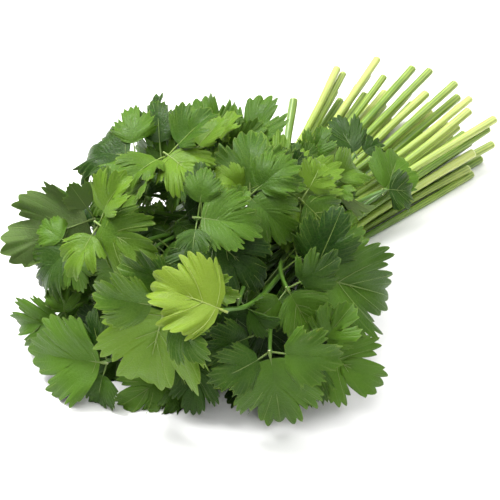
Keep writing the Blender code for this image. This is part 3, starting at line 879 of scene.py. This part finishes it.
@dataclass
class LeafCutter:
    """Cuts the fine blades: rounded teeth, lines that branch off the midrib to the teeth, folds and waves."""

    thickness: float = 0.3
    margin_share: float = 0.45
    rim_share: float = 0.6
    hero_grid: tuple = (3, 10)
    plain_grid: tuple = (2, 7)
    fill_grid: tuple = (1, 5)
    tips: tuple = (
        (0.0, 1.0),
        (0.12, 0.955),
        (0.23, 0.85),
        (0.365, 0.745),
        (0.455, 0.825),
        (0.565, 0.79),
        (0.665, 0.7),
        (0.79, 0.615),
        (0.88, 0.62),
        (0.96, 0.53),
    )
    notches: tuple = (
        (0.065, 0.905),
        (0.185, 0.84),
        (0.31, 0.57),
        (0.41, 0.7),
        (0.515, 0.74),
        (0.625, 0.685),
        (0.745, 0.49),
        (0.84, 0.545),
        (0.925, 0.52),
    )
    sinuses: tuple = (0.31, 0.745)
    tip_sway: float = 0.02
    tip_shift: float = 0.014
    tooth_share: float = 0.6
    roundness: tuple = (1.3, 2.0)
    spine: float = 0.46
    spine_power: float = 1.2
    sag: float = 0.06
    vein_depth: float = 0.0015
    vein_reach: float = 0.9
    wave_height: float = 0.12
    wave_sizes: tuple = (0.3, 1.0)
    # broad waves across the blade, close ones at its margin, and waves along it
    wave_turns: tuple = (3.6, 15.0, 6.0)
    wave_shares: tuple = (1.0, 0.35, 0.3)
    curl: float = 0.2
    lobe_pitch: float = 0.5
    bulge: float = 0.025
    floor_gap: float = 0.08
    rib_floor_gap: float = 0.05
    full_length: float = 40.0
    stalk_root: float = -1.0
    stalk_points: int = 4
    stalk_radius: float = 0.6
    rib_points: int = 8
    rib_reach: float = 0.85
    rib_radius: float = 0.42
    rib_end: float = 0.06
    vein_points: int = 6
    # across, length and radius of each pair of side veins
    veins: tuple = ((0.46, 0.85, 0.2), (0.86, 0.8, 0.17), (0.22, 0.9, 0.12))

    def knots(self, shape: LeafletShape, rng: random.Random) -> list:
        """The outline with its teeth, from one side corner to the other, tips and notches in turn.

        Args:
            shape: the leaflet.
            rng: the source of the teeth's differences.

        Returns:
            Pairs of across and reach.
        """
        whole = []
        for side in (-1, 1):
            half = []
            for number, (across, reach) in enumerate(self.tips):
                sway = self.tip_shift if number else 0.0
                grown = reach + rng.uniform(-self.tip_sway, self.tip_sway)
                half.append((side * (across + rng.uniform(-sway, sway)), grown))
                if number < len(self.notches):
                    across, reach = self.notches[number]
                    depth = shape.tooth_depth * self.tooth_share
                    cut = shape.lobe_depth if across in self.sinuses else depth
                    half.append((side * across, reach - cut))
            half.append((side * shape.side_corner[0], shape.side_corner[1]))
            whole = half[:0:-1] + half[:1] if side < 0 else whole + half[1:]
        return [(across, reach * (1 + shape.lean * across)) for across, reach in whole]

    def outline(self, shape: LeafletShape, steps: int, rng: random.Random) -> tuple:
        """The margin, sampled between the knots.

        Args:
            shape: the leaflet.
            steps: how many samples there are from one knot to the next.
            rng: the source of the teeth's differences.

        Returns:
            Across, reach, and how near each sample is to a vein that ends in a tooth, from 0 to 1.
        """
        knots = self.knots(shape, rng)
        roundness = rng.uniform(*self.roundness)
        across, reach, vein = [], [], []
        for number in range(len(knots) - 1):
            (a, first), (b, last) = knots[number], knots[number + 1]
            rising = number % 2 == 0
            for step in range(steps):
                share = step / steps
                climb = share if rising else 1 - share
                level = 1 - (1 - climb) ** roundness
                across.append(a + (b - a) * share)
                reach.append(first + (last - first) * (level if rising else 1 - level))
                vein.append(climb)
        across.append(knots[-1][0])
        reach.append(knots[-1][1])
        vein.append(0.0)
        return np.array(across), np.array(reach), np.array(vein)

    def branch(self, shape: LeafletShape, across: np.ndarray, reach: np.ndarray, share: np.ndarray) -> tuple:
        """Lines that leave the midrib and bend towards the tip on their way to the margin.

        Args:
            shape: the leaflet.
            across: where each line meets the margin.
            reach: how far out it meets it.
            share: how far along the lines each row is.

        Returns:
            Across and reach of every line at every row.
        """
        turn = across * shape.half_angle
        start = self.spine * (1 - np.abs(across)) ** self.spine_power
        x = share[:, None] * (reach * np.sin(turn))[None, :]
        y = (1 - share[:, None]) * start[None, :] + share[:, None] * (reach * np.cos(turn))[None, :]
        y = y - self.sag * np.sin(math.pi * share)[:, None] * np.abs(np.sin(turn))[None, :]
        return np.arctan2(x, np.maximum(y, 1e-6)) / shape.half_angle, np.hypot(x, y)

    def relief(
        self, across: np.ndarray, reach: np.ndarray, share: np.ndarray, vein: np.ndarray, rng: random.Random
    ) -> np.ndarray:
        """The veins, waves, curled lobes and swell of one blade.

        Args:
            across: each point's share of the half angle.
            reach: its share of the length.
            share: how far along the lines each row is.
            vein: how near each line is to a vein.
            rng: the source of the differences.

        Returns:
            How far each point stands above the middle surface.
        """
        phases = [rng.uniform(0, 2 * math.pi) for _ in range(4)]
        size = self.wave_height * rng.uniform(*self.wave_sizes)
        far, inner = share[:, None], np.minimum(1.0, 2 * reach)
        wide, close, along = self.wave_turns
        wide_share, close_share, along_share = self.wave_shares
        lift = self.vein_depth * np.cos(math.pi * vein)[None, :] * np.sin(math.pi * far * self.vein_reach)
        lift = lift + wide_share * size * reach**2 * np.sin(wide * across + phases[0])
        lift = lift + close_share * size * far**3 * np.sin(close * across + phases[1])
        lift = lift + along_share * size * np.sin(along * reach + phases[2]) * np.minimum(1.0, 3 * reach)
        lobe = 0.5 + 0.5 * np.cos(np.abs(across) * 2 * math.pi / self.lobe_pitch)
        lift = lift - self.curl * rng.uniform(0.0, 1.0) * lobe * far**2.5 * inner
        return lift + self.bulge * np.sin(math.pi * far) * inner

    def blade(self, leaflet: Leaflet, fine: FineMesh, shade: float) -> None:
        """Adds one blade.

        Args:
            leaflet: the leaflet in place.
            fine: the mesh that takes it.
            shade: its own shade, from 0 to 1.
        """
        shape = leaflet.shape
        rng = random.Random(f"cut {leaflet.owner} {leaflet.number}")
        steps, rows = self.hero_grid if leaflet.rank == 0 else self.plain_grid
        if leaflet.rank >= FILL_RANK:
            steps, rows = self.fill_grid
        margin_across, margin_reach, vein = self.outline(shape, steps, rng)
        share = np.linspace(0.0, 1.0, rows)
        share[-2] = 1 - self.rim_share * (share[-1] - share[-2])
        across, reach = self.branch(shape, margin_across, margin_reach, share)
        middle = shape.surface(across, reach, self.relief(across, reach, share, vein, rng))
        across_step = np.gradient(middle, axis=1)
        normal = np.cross(across_step, np.gradient(middle, axis=0))
        normal /= np.linalg.norm(normal, axis=-1, keepdims=True) + 1e-12
        half = self.thickness / 2 * np.ones_like(reach)
        half[-1] *= self.margin_share
        turn = np.array(leaflet.frame.to_3x3())
        place = np.array(leaflet.frame.translation)
        sheets = []
        for side, floor in ((1, self.thickness + self.floor_gap), (-1, self.floor_gap)):
            sheet = (middle + normal * (half * side)[..., None]).reshape(-1, 3) @ turn.T + place
            sheet[:, 2] = np.maximum(sheet[:, 2], floor)
            sheets.append(sheet)
        columns = len(margin_across)
        grid = np.arange(rows * columns).reshape(rows, columns)
        corners = grid[:-1, :-1], grid[:-1, 1:], grid[1:, 1:], grid[1:, :-1]
        top = np.stack([corner.ravel() for corner in corners], axis=1)
        bottom = top[:, ::-1] + rows * columns
        ring = np.concatenate([grid[0, :-1], grid[:-1, -1], grid[-1, :0:-1], grid[:0:-1, 0]])
        after = np.roll(ring, -1)
        edge = np.stack([after, ring, ring + rows * columns, after + rows * columns], axis=1)
        faces = np.concatenate([top, bottom, edge])
        flat = np.zeros(len(faces), bool)
        flat[len(top) * 2 :] = True
        one = np.stack(
            [
                np.full(reach.shape, shade),
                np.broadcast_to(share[:, None], reach.shape),
                np.zeros(reach.shape),
                np.broadcast_to(vein[None, :] ** 3, reach.shape),
            ],
            axis=-1,
        ).reshape(-1, 4)
        under = one.copy()
        under[:, 2] = 1.0
        spots = np.stack([across * 0.5 + 0.5, reach], axis=-1).reshape(-1, 2)
        tones, places = np.concatenate([one, under]), np.concatenate([spots, spots])
        fine.add(np.concatenate(sheets), faces, tones, places, flat)

    def ribs(self, leaflet: Leaflet, hero: bool) -> list:
        """The courses of the stalk with its midrib, and of the side veins.

        Args:
            leaflet: the leaflet in place.
            hero: whether it has side veins.

        Returns:
            For each, its points in millimetres and its radii.
        """
        shape = leaflet.shape
        size = min(1.0, shape.length / self.full_length)
        reach = np.linspace(0.0, self.rib_reach, self.rib_points)
        blade = shape.surface(np.zeros(self.rib_points), reach, np.zeros(self.rib_points))
        heights = np.linspace(self.stalk_root, shape.stalk, self.stalk_points + 1)[:-1]
        stalk = [np.array((0.0, y, 0.0)) for y in heights]
        thin = np.linspace(self.rib_radius, self.rib_end, self.rib_points) * size + 0.03
        radii = [self.stalk_radius * size + 0.1] * self.stalk_points + list(thin)
        courses = [(np.array(stalk + list(blade)), radii)]
        for across, length, thick in self.veins if hero else ():
            share = np.linspace(0.0, length, self.vein_points)
            for side in (-1, 1):
                spot = np.interp(across, [tip[0] for tip in self.tips], [tip[1] for tip in self.tips])
                line, out = self.branch(shape, np.array([side * across]), np.array([spot]), share)
                course = shape.surface(line[:, 0], out[:, 0], self.bulge * 0.5 * np.sin(math.pi * share))
                courses.append((course, np.linspace(thick, self.rib_end, self.vein_points) * size + 0.02))
        turn = np.array(leaflet.frame.to_3x3())
        place = np.array(leaflet.frame.translation)
        placed = []
        for points, radii in courses:
            points = points @ turn.T + place
            points[:, 2] = np.maximum(points[:, 2], np.array(radii) + self.rib_floor_gap)
            placed.append((points, radii))
        return placed


# ---------------------------------------------------------------- finishes


class NodeBench:
    """A short way to lay and link the nodes of one tree."""

    def __init__(self, tree: bpy.types.NodeTree, prefix: str) -> None:
        """Takes the tree and how most of its nodes' types begin."""
        self.tree = tree
        self.prefix = prefix

    def lay(self, kind: str, settings: dict, sockets: dict) -> bpy.types.Node:
        """Lays one node.

        Args:
            kind: the node's type, which may leave out the bench's prefix.
            settings: its properties.
            sockets: for inputs by name or number, a value or the socket to link.

        Returns:
            The node.
        """
        node = self.tree.nodes.new(kind if "Node" in kind else self.prefix + kind)
        for key, value in settings.items():
            setattr(node, key, value)
        for key, value in sockets.items():
            self.feed(node.inputs[key], value)
        return node

    def feed(self, socket: bpy.types.NodeSocket, value: object) -> None:
        """Gives an input a value or a link."""
        if isinstance(value, bpy.types.NodeSocket):
            self.tree.links.new(value, socket)
        else:
            socket.default_value = value

    def math(self, operation: str, first: object, second: object) -> bpy.types.NodeSocket:
        """The result of one operation on two numbers."""
        return self.lay("ShaderNodeMath", {"operation": operation}, {0: first, 1: second}).outputs[0]

    def plus(self, first: object, second: object) -> bpy.types.NodeSocket:
        """The sum of two numbers."""
        return self.math("ADD", first, second)

    def minus(self, first: object, second: object) -> bpy.types.NodeSocket:
        """The first number less the second."""
        return self.math("SUBTRACT", first, second)

    def times(self, first: object, second: object) -> bpy.types.NodeSocket:
        """The product of two numbers."""
        return self.math("MULTIPLY", first, second)


class SkinBench(NodeBench):
    """The bench of one material."""

    def __init__(self, name: str) -> None:
        """Starts the material with its Principled shader."""
        self.material = bpy.data.materials.new(name)
        self.material.use_nodes = True
        super().__init__(self.material.node_tree, "ShaderNode")
        self.shader = self.tree.nodes["Principled BSDF"]

    def finished(self, green: object, rough: object, bump: bpy.types.Node, own: dict) -> bpy.types.Material:
        """Feeds the shader.

        Args:
            green: the colour.
            rough: the roughness.
            bump: the node of the relief.
            own: the shader's other values by the names of its sockets.

        Returns:
            The material.
        """
        self.feed(self.shader.inputs["Base Color"], green)
        self.feed(self.shader.inputs["Roughness"], rough)
        self.feed(self.shader.inputs["Normal"], bump.outputs[0])
        for name, value in own.items():
            self.shader.inputs[name].default_value = value
        return self.material

    def tones(self) -> tuple:
        """The four numbers of the mesh's tone attribute."""
        tone = self.lay("Attribute", {"attribute_name": "tone"}, {})
        split = self.lay("SeparateColor", {}, {0: tone.outputs["Color"]})
        return *split.outputs[:3], tone.outputs["Alpha"]

    def ramp(self, value: object, low: float, high: float) -> bpy.types.NodeSocket:
        """0 below low, 1 above high and smooth between."""
        settings = {"interpolation_type": "SMOOTHSTEP"}
        return self.lay("MapRange", settings, {"Value": value, "From Min": low, "From Max": high}).outputs[0]

    def noise(self, scale: float, detail: float, vector: object) -> bpy.types.NodeSocket:
        """A noise from 0 to 1."""
        return self.lay("TexNoise", {}, {"Vector": vector, "Scale": scale, "Detail": detail}).outputs["Fac"]

    def blend(self, share: object, first: object, second: object) -> bpy.types.NodeSocket:
        """A mix of two colours."""
        node = self.lay("Mix", {"data_type": "RGBA"}, {"Factor": share, 6: first, 7: second})
        return node.outputs[2]


Colour = tuple


@dataclass(frozen=True)
class LeafFinish:
    """A leaflet's greens: a darker and a lighter one mixed in random patches, along the veins, at the margin
    and beneath.
    """

    name: str
    dark: Colour
    light: Colour
    vein: Colour
    margin: Colour
    beneath: Colour
    roughness: float = 0.42

    def rib(self) -> "StemFinish":
        """The finish of the stalk and the veins: the vein's colour with darker grooves."""
        pale = tuple(channel * 1.15 for channel in self.vein[:3]) + (1.0,)
        return StemFinish(self.name.replace("blade", "rib"), pale, pale, pale, self.margin, roughness=0.45)

    def material(self) -> bpy.types.Material:
        """Makes the blade's material.

        Returns:
            The material.
        """
        bench = SkinBench(self.name)
        shade, edge, under, near_vein = bench.tones()
        spot = bench.lay("TexCoord", {}, {}).outputs["Object"]
        wide = bench.noise(55.0, 3.0, spot)
        grain = bench.noise(900.0, 2.0, spot)
        cells = bench.lay("TexVoronoi", {"feature": "DISTANCE_TO_EDGE"}, {"Vector": spot, "Scale": 620.0})
        net = bench.ramp(cells.outputs["Distance"], 0.0, 0.16)
        mottle = bench.plus(bench.times(wide, 0.8), bench.times(shade, 0.8))
        green = bench.blend(bench.ramp(mottle, 0.3, 1.25), self.dark, self.light)
        vein = bench.times(bench.ramp(near_vein, 0.6, 1.0), bench.ramp(edge, 0.3, 0.8))
        green = bench.blend(bench.times(vein, 0.35), green, self.vein)
        green = bench.blend(bench.times(bench.minus(1.0, net), 0.1), green, self.vein)
        green = bench.blend(bench.times(bench.ramp(edge, 0.95, 1.0), 0.4), green, self.margin)
        green = bench.blend(bench.times(under, 0.8), green, self.beneath)
        rough = bench.plus(bench.times(grain, 0.16), self.roughness - 0.08)
        rough = bench.plus(rough, bench.times(under, 0.2))
        height = bench.times(net, 0.35)
        height = bench.minus(height, bench.times(vein, 0.8))
        bump = bench.lay("Bump", {}, {"Height": height, "Strength": 0.5, "Distance": 0.0004})
        own = {
            "Subsurface Weight": 0.25,
            "Subsurface Radius": (0.7, 1.0, 0.2),
            "Subsurface Scale": 0.0012,
            "Specular IOR Level": 0.17,
        }
        return bench.finished(green, rough, bump, own)


@dataclass(frozen=True)
class StemFinish:
    """A stem's greens, from its cut end to its leaf, and a darker green that is painted shade in the grooves
    between its ridges and a random darker tone in patches and from stem to stem.
    """

    name: str
    cut: Colour
    fan: Colour
    head: Colour
    groove: Colour
    roughness: float = 0.36
    cut_face: Colour = (0.72, 0.78, 0.42, 1.0)

    def material(self) -> bpy.types.Material:
        """Makes the stem's material.

        Returns:
            The material.
        """
        bench = SkinBench(self.name)
        shade, along, ridge, _ = bench.tones()
        spot = bench.lay("TexCoord", {}, {}).outputs["Object"]
        stretched = bench.lay("Mapping", {}, {"Vector": spot, "Scale": (1.0, 0.12, 1.0)}).outputs[0]
        fibre = bench.noise(1100.0, 2.0, stretched)
        patch = bench.noise(70.0, 2.0, spot)
        reach = bench.plus(along, bench.times(bench.minus(shade, 0.5), 0.3))
        green = bench.blend(bench.ramp(reach, -0.1, 0.3), self.cut, self.fan)
        green = bench.blend(bench.ramp(reach, 0.28, 0.62), green, self.head)
        # painted shade in the grooves between the ridges, added to random darker patches and each stem's own
        # random shade
        low = bench.times(bench.minus(1.0, ridge), 0.55)
        low = bench.plus(low, bench.times(bench.minus(patch, 0.5), 0.7))
        low = bench.plus(low, bench.times(bench.minus(shade, 0.5), 0.8))
        green = bench.blend(bench.ramp(low, 0.0, 1.0), green, self.groove)
        face = bench.times(bench.ramp(along, 0.004, 0.0), 0.8)
        green = bench.blend(face, green, self.cut_face)
        height = bench.plus(bench.times(fibre, 0.7), ridge)
        bump = bench.lay("Bump", {}, {"Height": height, "Strength": 0.35, "Distance": 0.0002})
        rough = bench.plus(bench.times(fibre, 0.2), self.roughness - 0.1)
        own = {
            "Subsurface Weight": 0.3,
            "Subsurface Radius": (0.8, 1.0, 0.3),
            "Subsurface Scale": 0.0015,
        }
        return bench.finished(green, rough, bump, own)


LEAF_FINISHES = {
    # painted shade: the darkest greens, for the leaflets inside, under and behind the head
    Tint.DEEP: LeafFinish(
        "deep_green_blade",
        dark=(0.007, 0.025, 0.002, 1.0),
        light=(0.032, 0.080, 0.006, 1.0),
        vein=(0.075, 0.125, 0.028, 1.0),
        margin=(0.080, 0.125, 0.028, 1.0),
        beneath=(0.065, 0.105, 0.032, 1.0),
    ),
    Tint.MID: LeafFinish(
        "mid_green_blade",
        dark=(0.012, 0.040, 0.003, 1.0),
        light=(0.072, 0.157, 0.011, 1.0),
        vein=(0.125, 0.195, 0.038, 1.0),
        margin=(0.125, 0.190, 0.034, 1.0),
        beneath=(0.100, 0.145, 0.045, 1.0),
    ),
    # the leaflets' own paler green with painted light, falling on the crown and shining through the blades
    Tint.BRIGHT: LeafFinish(
        "bright_green_blade",
        dark=(0.032, 0.086, 0.005, 1.0),
        light=(0.118, 0.218, 0.014, 1.0),
        vein=(0.175, 0.260, 0.048, 1.0),
        margin=(0.175, 0.250, 0.042, 1.0),
        beneath=(0.125, 0.175, 0.055, 1.0),
    ),
    # the leaflet's own yellower green with painted light shining through it
    Tint.YELLOW: LeafFinish(
        "yellow_green_blade",
        dark=(0.086, 0.160, 0.009, 1.0),
        light=(0.168, 0.255, 0.019, 1.0),
        vein=(0.235, 0.310, 0.060, 1.0),
        margin=(0.240, 0.300, 0.055, 1.0),
        beneath=(0.160, 0.210, 0.060, 1.0),
    ),
}
STEM_FINISH = StemFinish(
    "stem_skin",
    cut=(0.500, 0.560, 0.170, 1.0),
    fan=(0.270, 0.390, 0.060, 1.0),
    head=(0.085, 0.190, 0.022, 1.0),
    groove=(0.100, 0.200, 0.024, 1.0),
)


# ---------------------------------------------------------------- stems in fine geometry


SWEEP_SOCKETS = {
    "Geometry": "Geometry",
    "Stem course": "Object",
    "Rib courses": "Object",
    "Stem sides": "Int",
    "Ridge depth": "Float",
    "Rib sides": "Int",
    "Seed": "Int",
    "Stem skin": "Material",
    "Rib skin": "Material",
}


@dataclass
class StemSweep:
    """The Geometry Nodes tree that sweeps a ridged stem and plain ribs along their courses."""

    ridges: int = 8
    ridge_depth: float = 0.09
    rib_sides: int = 5
    seed: int = 7

    @staticmethod
    def stored(bench: NodeBench, source: object, name: str, value: object, **where: str) -> object:
        """Stores a named attribute.

        Args:
            bench: the tree's bench.
            source: the geometry's socket.
            name: the attribute's name.
            value: the socket of its value.
            where: its data type and domain, where they aren't a number on each point.

        Returns:
            The socket of the geometry that has it.
        """
        settings = {"data_type": "FLOAT", "domain": "POINT"} | where
        sockets = {"Geometry": source, "Name": name, "Value": value}
        return bench.lay("StoreNamedAttribute", settings, sockets).outputs[0]

    def tree(self) -> bpy.types.NodeTree:
        """Builds the tree.

        Returns:
            The node group, whose inputs carry the sizes.
        """
        group = bpy.data.node_groups.new("sweep_stems", "GeometryNodeTree")
        for name, kind in SWEEP_SOCKETS.items():
            group.interface.new_socket(name, in_out="INPUT", socket_type="NodeSocket" + kind)
        group.interface.new_socket("Geometry", in_out="OUTPUT", socket_type="NodeSocketGeometry")
        bench = NodeBench(group, "GeometryNode")
        given = group.nodes.new("NodeGroupInput").outputs
        odd = bench.math("MODULO", bench.lay("InputIndex", {}, {}).outputs[0], 2.0)
        crest = bench.minus(1.0, odd)
        scale = bench.minus(1.0, bench.times(odd, given["Ridge depth"]))
        spot = bench.lay("InputPosition", {}, {}).outputs[0]
        drawn = bench.lay("ShaderNodeVectorMath", {"operation": "SCALE"}, {0: spot, "Scale": scale})
        ring, plain = [
            bench.lay("CurvePrimitiveCircle", {}, {"Resolution": given[sides], "Radius": 1.0}).outputs[0]
            for sides in ("Stem sides", "Rib sides")
        ]
        ring = bench.lay("SetPosition", {}, {"Geometry": ring, "Position": drawn.outputs[0]}).outputs[0]
        ring = self.stored(bench, ring, "ridge", crest)
        shades = bench.lay("FunctionNodeRandomValue", {"data_type": "FLOAT"}, {"Seed": given["Seed"]})
        joined = bench.lay("JoinGeometry", {}, {})
        bench.feed(joined.inputs[0], given["Geometry"])
        for course, profile, skin in (("Stem course", ring, "Stem skin"), ("Rib courses", plain, "Rib skin")):
            curve = bench.lay("ObjectInfo", {}, {"Object": given[course]}).outputs["Geometry"]
            factor = bench.lay("SplineParameter", {}, {}).outputs["Factor"]
            curve = self.stored(bench, curve, "along", factor)
            curve = self.stored(bench, curve, "own", shades.outputs[1], domain="CURVE")
            tube = bench.lay("CurveToMesh", {}, {"Curve": curve, "Profile Curve": profile, "Fill Caps": True})
            if "Scale" in tube.inputs:
                bench.feed(tube.inputs["Scale"], bench.lay("InputRadius", {}, {}).outputs[0])
            read = [
                bench.lay("InputNamedAttribute", {"data_type": "FLOAT"}, {"Name": name}).outputs[0]
                for name in ("own", "along", "ridge")
            ]
            colour = bench.lay("FunctionNodeCombineColor", {}, dict(enumerate(read))).outputs[0]
            made = self.stored(bench, tube.outputs[0], "tone", colour, data_type="FLOAT_COLOR")
            made = bench.lay("SetShadeSmooth", {}, {"Geometry": made}).outputs[0]
            made = bench.lay("SetMaterial", {}, {"Geometry": made, "Material": given[skin]}).outputs[0]
            bench.feed(joined.inputs[0], made)
        whole = bench.lay("RealizeInstances", {}, {"Geometry": joined.outputs[0]}).outputs[0]
        bench.feed(group.nodes.new("NodeGroupOutput").inputs[0], whole)
        return group

    @staticmethod
    def courses(name: str, lines: list) -> bpy.types.Object:
        """A curve object of poly splines.

        Args:
            name: its name.
            lines: for each spline, its points in millimetres, and its radii.

        Returns:
            The object, linked to the scene.
        """
        data = bpy.data.curves.new(name, "CURVE")
        data.dimensions = "3D"
        for points, radii in lines:
            spline = data.splines.new("POLY")
            spline.points.add(len(points) - 1)
            for spot, point, radius in zip(spline.points, points, radii):
                spot.co = [(value - start) * MM for value, start in zip(point, ORIGIN)] + [1.0]
                spot.radius = radius * MM
        made = bpy.data.objects.new(name, data)
        bpy.context.scene.collection.objects.link(made)
        return made

    def swept(
        self, group: bpy.types.NodeTree, blades: bpy.types.Object, lines: tuple, skins: tuple, number: int
    ) -> bpy.types.Mesh:
        """The blades' mesh with the swept stem and ribs joined to it.

        Args:
            group: the tree.
            blades: the object that holds the blades.
            lines: the stem's course, and the courses of stalks and ribs.
            skins: the stem's and the ribs' materials.
            number: the sprig's number, which gives its stem its own shade.

        Returns:
            One plain mesh.
        """
        stem_course = self.courses("stem_course", lines[0])
        rib_courses = self.courses("rib_courses", lines[1])
        sweep = blades.modifiers.new("sweep", "NODES")
        sweep.node_group = group
        sizes = {
            "Stem course": stem_course,
            "Rib courses": rib_courses,
            "Stem sides": self.ridges * 2,
            "Ridge depth": self.ridge_depth,
            "Rib sides": self.rib_sides,
            "Seed": self.seed + number,
            "Stem skin": skins[0],
            "Rib skin": skins[1],
        }
        for item in group.interface.items_tree:
            if item.in_out == "INPUT" and item.name in sizes:
                sweep[item.identifier] = sizes[item.name]
        graph = bpy.context.evaluated_depsgraph_get()
        whole = bpy.data.meshes.new_from_object(blades.evaluated_get(graph))
        blades.modifiers.remove(sweep)
        for course in (stem_course, rib_courses):
            bpy.data.objects.remove(course)
        return whole


@dataclass
class SprigDresser:
    """Makes each sprig's fine piece and puts it in its solid's place."""

    bundle: StemBundle
    cutter: LeafCutter = field(default_factory=LeafCutter)
    sweep: StemSweep = field(default_factory=StemSweep)
    stem_points: int = 7
    slimness: tuple = (0.88, 1.06)
    swell: float = 0.04
    swell_turns: tuple = (2.1, 5.0)

    def smooth_course(self, route: list, rng: random.Random) -> tuple:
        """The stem's course with its bends rounded and its thickness a little uneven.

        Args:
            route: the stem's points.
            rng: the source of the unevenness.

        Returns:
            The points and the radii.
        """
        points = [Vector(point) for point in route]
        radii = self.bundle.radii()
        slim = rng.uniform(*self.slimness)
        by_ring, by_share = self.swell_turns
        course, sizes = [], []
        for ring in range(len(points) - 1):
            before, start = points[max(ring - 1, 0)], points[ring]
            end, beyond = points[ring + 1], points[min(ring + 2, len(points) - 1)]
            for step in range(self.stem_points):
                share = step / self.stem_points
                course.append(hermite(start, (end - before) * 0.5, end, (beyond - start) * 0.5, share))
                radius = radii[ring] + (radii[ring + 1] - radii[ring]) * share
                swell = self.swell * math.sin(ring * by_ring + share * by_share)
                sizes.append(radius * slim * (1 + swell))
        course.append(points[-1])
        sizes.append(radii[-1] * slim)
        lowest = [max(point.z, size) for point, size in zip(course, sizes)]
        return [(point.x, point.y, low) for point, low in zip(course, lowest)], sizes

    def dress(
        self, index: int, sprig: Sprig, route: list, leaflets: list, group: bpy.types.NodeTree, skins: tuple
    ) -> int:
        """Makes one sprig's piece.

        Args:
            index: the sprig's place in the table.
            sprig: the sprig.
            route: its stem's points.
            leaflets: its leaflets.
            group: the sweeping tree.
            skins: the materials of the blade, the stem and the ribs.

        Returns:
            The number of its triangles.
        """
        rng = random.Random(f"dress {sprig.name}")
        fine = FineMesh()
        ribs = []
        for leaflet in leaflets:
            shade = rng.uniform(0.0, 1.0)
            self.cutter.blade(leaflet, fine, shade)
            ribs += self.cutter.ribs(leaflet, leaflet.rank == 0)
        name = "fine_" + sprig.name
        blades = bpy.data.objects.new(name, fine.mesh(name))
        bpy.context.scene.collection.objects.link(blades)
        blades.data.materials.append(skins[0])
        course = [self.smooth_course(route, rng)]
        whole = self.sweep.swept(group, blades, (course, ribs), skins[1:], index)
        blades.data = whole
        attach(blades, "root")
        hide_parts("sprig_" + sprig.name)
        whole.calc_loop_triangles()
        return len(whole.loop_triangles)


# ---------------------------------------------------------------- studio


@dataclass
class Studio:
    """The pale floor, the soft lights and the camera."""

    target: Vector = field(default_factory=lambda: Vector((-0.0033, -0.0307, 0.030)))
    azimuth: float = 40.0
    elevation: float = 38.0
    distance: float = 0.80
    lens: float = 120.0
    floor_size: float = 8.0
    floor_colour: tuple = (0.9, 0.9, 0.89, 1.0)
    floor_shine: float = 0.1
    # name, heading, pitch, reach, size and power, as lamp() takes them
    lamps: tuple = (
        ("ceiling", 0.0, 90.0, 1.8, 2.6, 62.0),
        ("key", -80.0, 56.0, 1.6, 0.5, 28.0),
        ("fill", 40.0, 40.0, 1.8, 0.9, 3.0),
    )
    sky_strength: float = 0.32

    def floor(self) -> None:
        """Lays the floor."""
        half = self.floor_size / 2
        mesh = bpy.data.meshes.new("floor")
        corners = [(-half, -half, 0.0), (half, -half, 0.0), (half, half, 0.0), (-half, half, 0.0)]
        mesh.from_pydata(corners, [], [(0, 1, 2, 3)])
        bench = SkinBench("floor_white")
        spot = bench.lay("TexCoord", {}, {}).outputs["Object"]
        bench.feed(bench.shader.inputs["Roughness"], bench.plus(bench.noise(3.0, 1.0, spot), 0.3))
        bench.shader.inputs["Base Color"].default_value = self.floor_colour
        bench.shader.inputs["Specular IOR Level"].default_value = self.floor_shine
        mesh.materials.append(bench.material)
        made = bpy.data.objects.new("floor", mesh)
        bpy.context.scene.collection.objects.link(made)

    def lamp(self, name: str, heading: float, pitch: float, reach: float, size: float, power: float) -> None:
        """Hangs one soft square light that faces the bunch.

        Args:
            name: its name.
            heading: its direction from the bunch, in degrees from -Y towards +X.
            pitch: its height in degrees above the floor.
            reach: its distance in metres.
            size: its side in metres.
            power: its power in watts.
        """
        data = bpy.data.lights.new(name, "AREA")
        data.size = size
        data.energy = power
        made = bpy.data.objects.new(name, data)
        bpy.context.scene.collection.objects.link(made)
        towards = direction(heading, pitch)
        made.location = self.target + towards * reach
        made.rotation_euler = towards.to_track_quat("Z", "Y").to_euler()

    def light(self) -> None:
        """Hangs the lights and sets the sky."""
        for lamp in self.lamps:
            self.lamp(*lamp)
        world = bpy.data.worlds.new("soft_sky")
        world.use_nodes = True
        sky = world.node_tree.nodes["Background"]
        sky.inputs["Color"].default_value = (1.0, 1.0, 1.0, 1.0)
        sky.inputs["Strength"].default_value = self.sky_strength
        bpy.context.scene.world = world

    def camera(self) -> None:
        """Sets the camera up."""
        data = bpy.data.cameras.new("view")
        data.lens = self.lens
        data.sensor_width = 36.0
        made = bpy.data.objects.new("view", data)
        bpy.context.scene.collection.objects.link(made)
        back = direction(self.azimuth, self.elevation)
        made.location = self.target + back * self.distance
        made.rotation_euler = back.to_track_quat("Z", "Y").to_euler()
        bpy.context.scene.camera = made
        bpy.context.scene.view_settings.view_transform = "Standard"


def main() -> None:
    """Builds the studio, then every sprig in the table's order, and reports each piece."""
    logging.basicConfig(level=logging.INFO, format="%(name)s: %(message)s")
    studio = Studio()
    studio.camera()
    studio.floor()
    studio.light()
    bundle = StemBundle(SPRIGS)
    routes = bundle.routes()
    LOG.info("%d stems spread", len(routes))
    growth = LeafGrowth(SPRIGS, routes, bundle)
    grown = growth.grow()
    LOG.info("%d leaflets grown", sum(len(leaflets) for leaflets in grown.values()))
    dresser = SprigDresser(bundle)
    group = dresser.sweep.tree()
    skins = {tint: finish.material() for tint, finish in LEAF_FINISHES.items()}
    ribs = {tint: finish.rib().material() for tint, finish in LEAF_FINISHES.items()}
    stem = STEM_FINISH.material()
    total = 0
    for index, sprig in enumerate(SPRIGS):
        trio = (skins[sprig.tint], stem, ribs[sprig.tint])
        triangles = dresser.dress(index, sprig, routes[index], grown[index], group, trio)
        total += triangles
        LOG.info("%s: %d leaflets, %d triangles", sprig.name, len(grown[index]), triangles)
    LOG.info("%d triangles in all", total)


if __name__ == "__main__":
    main()
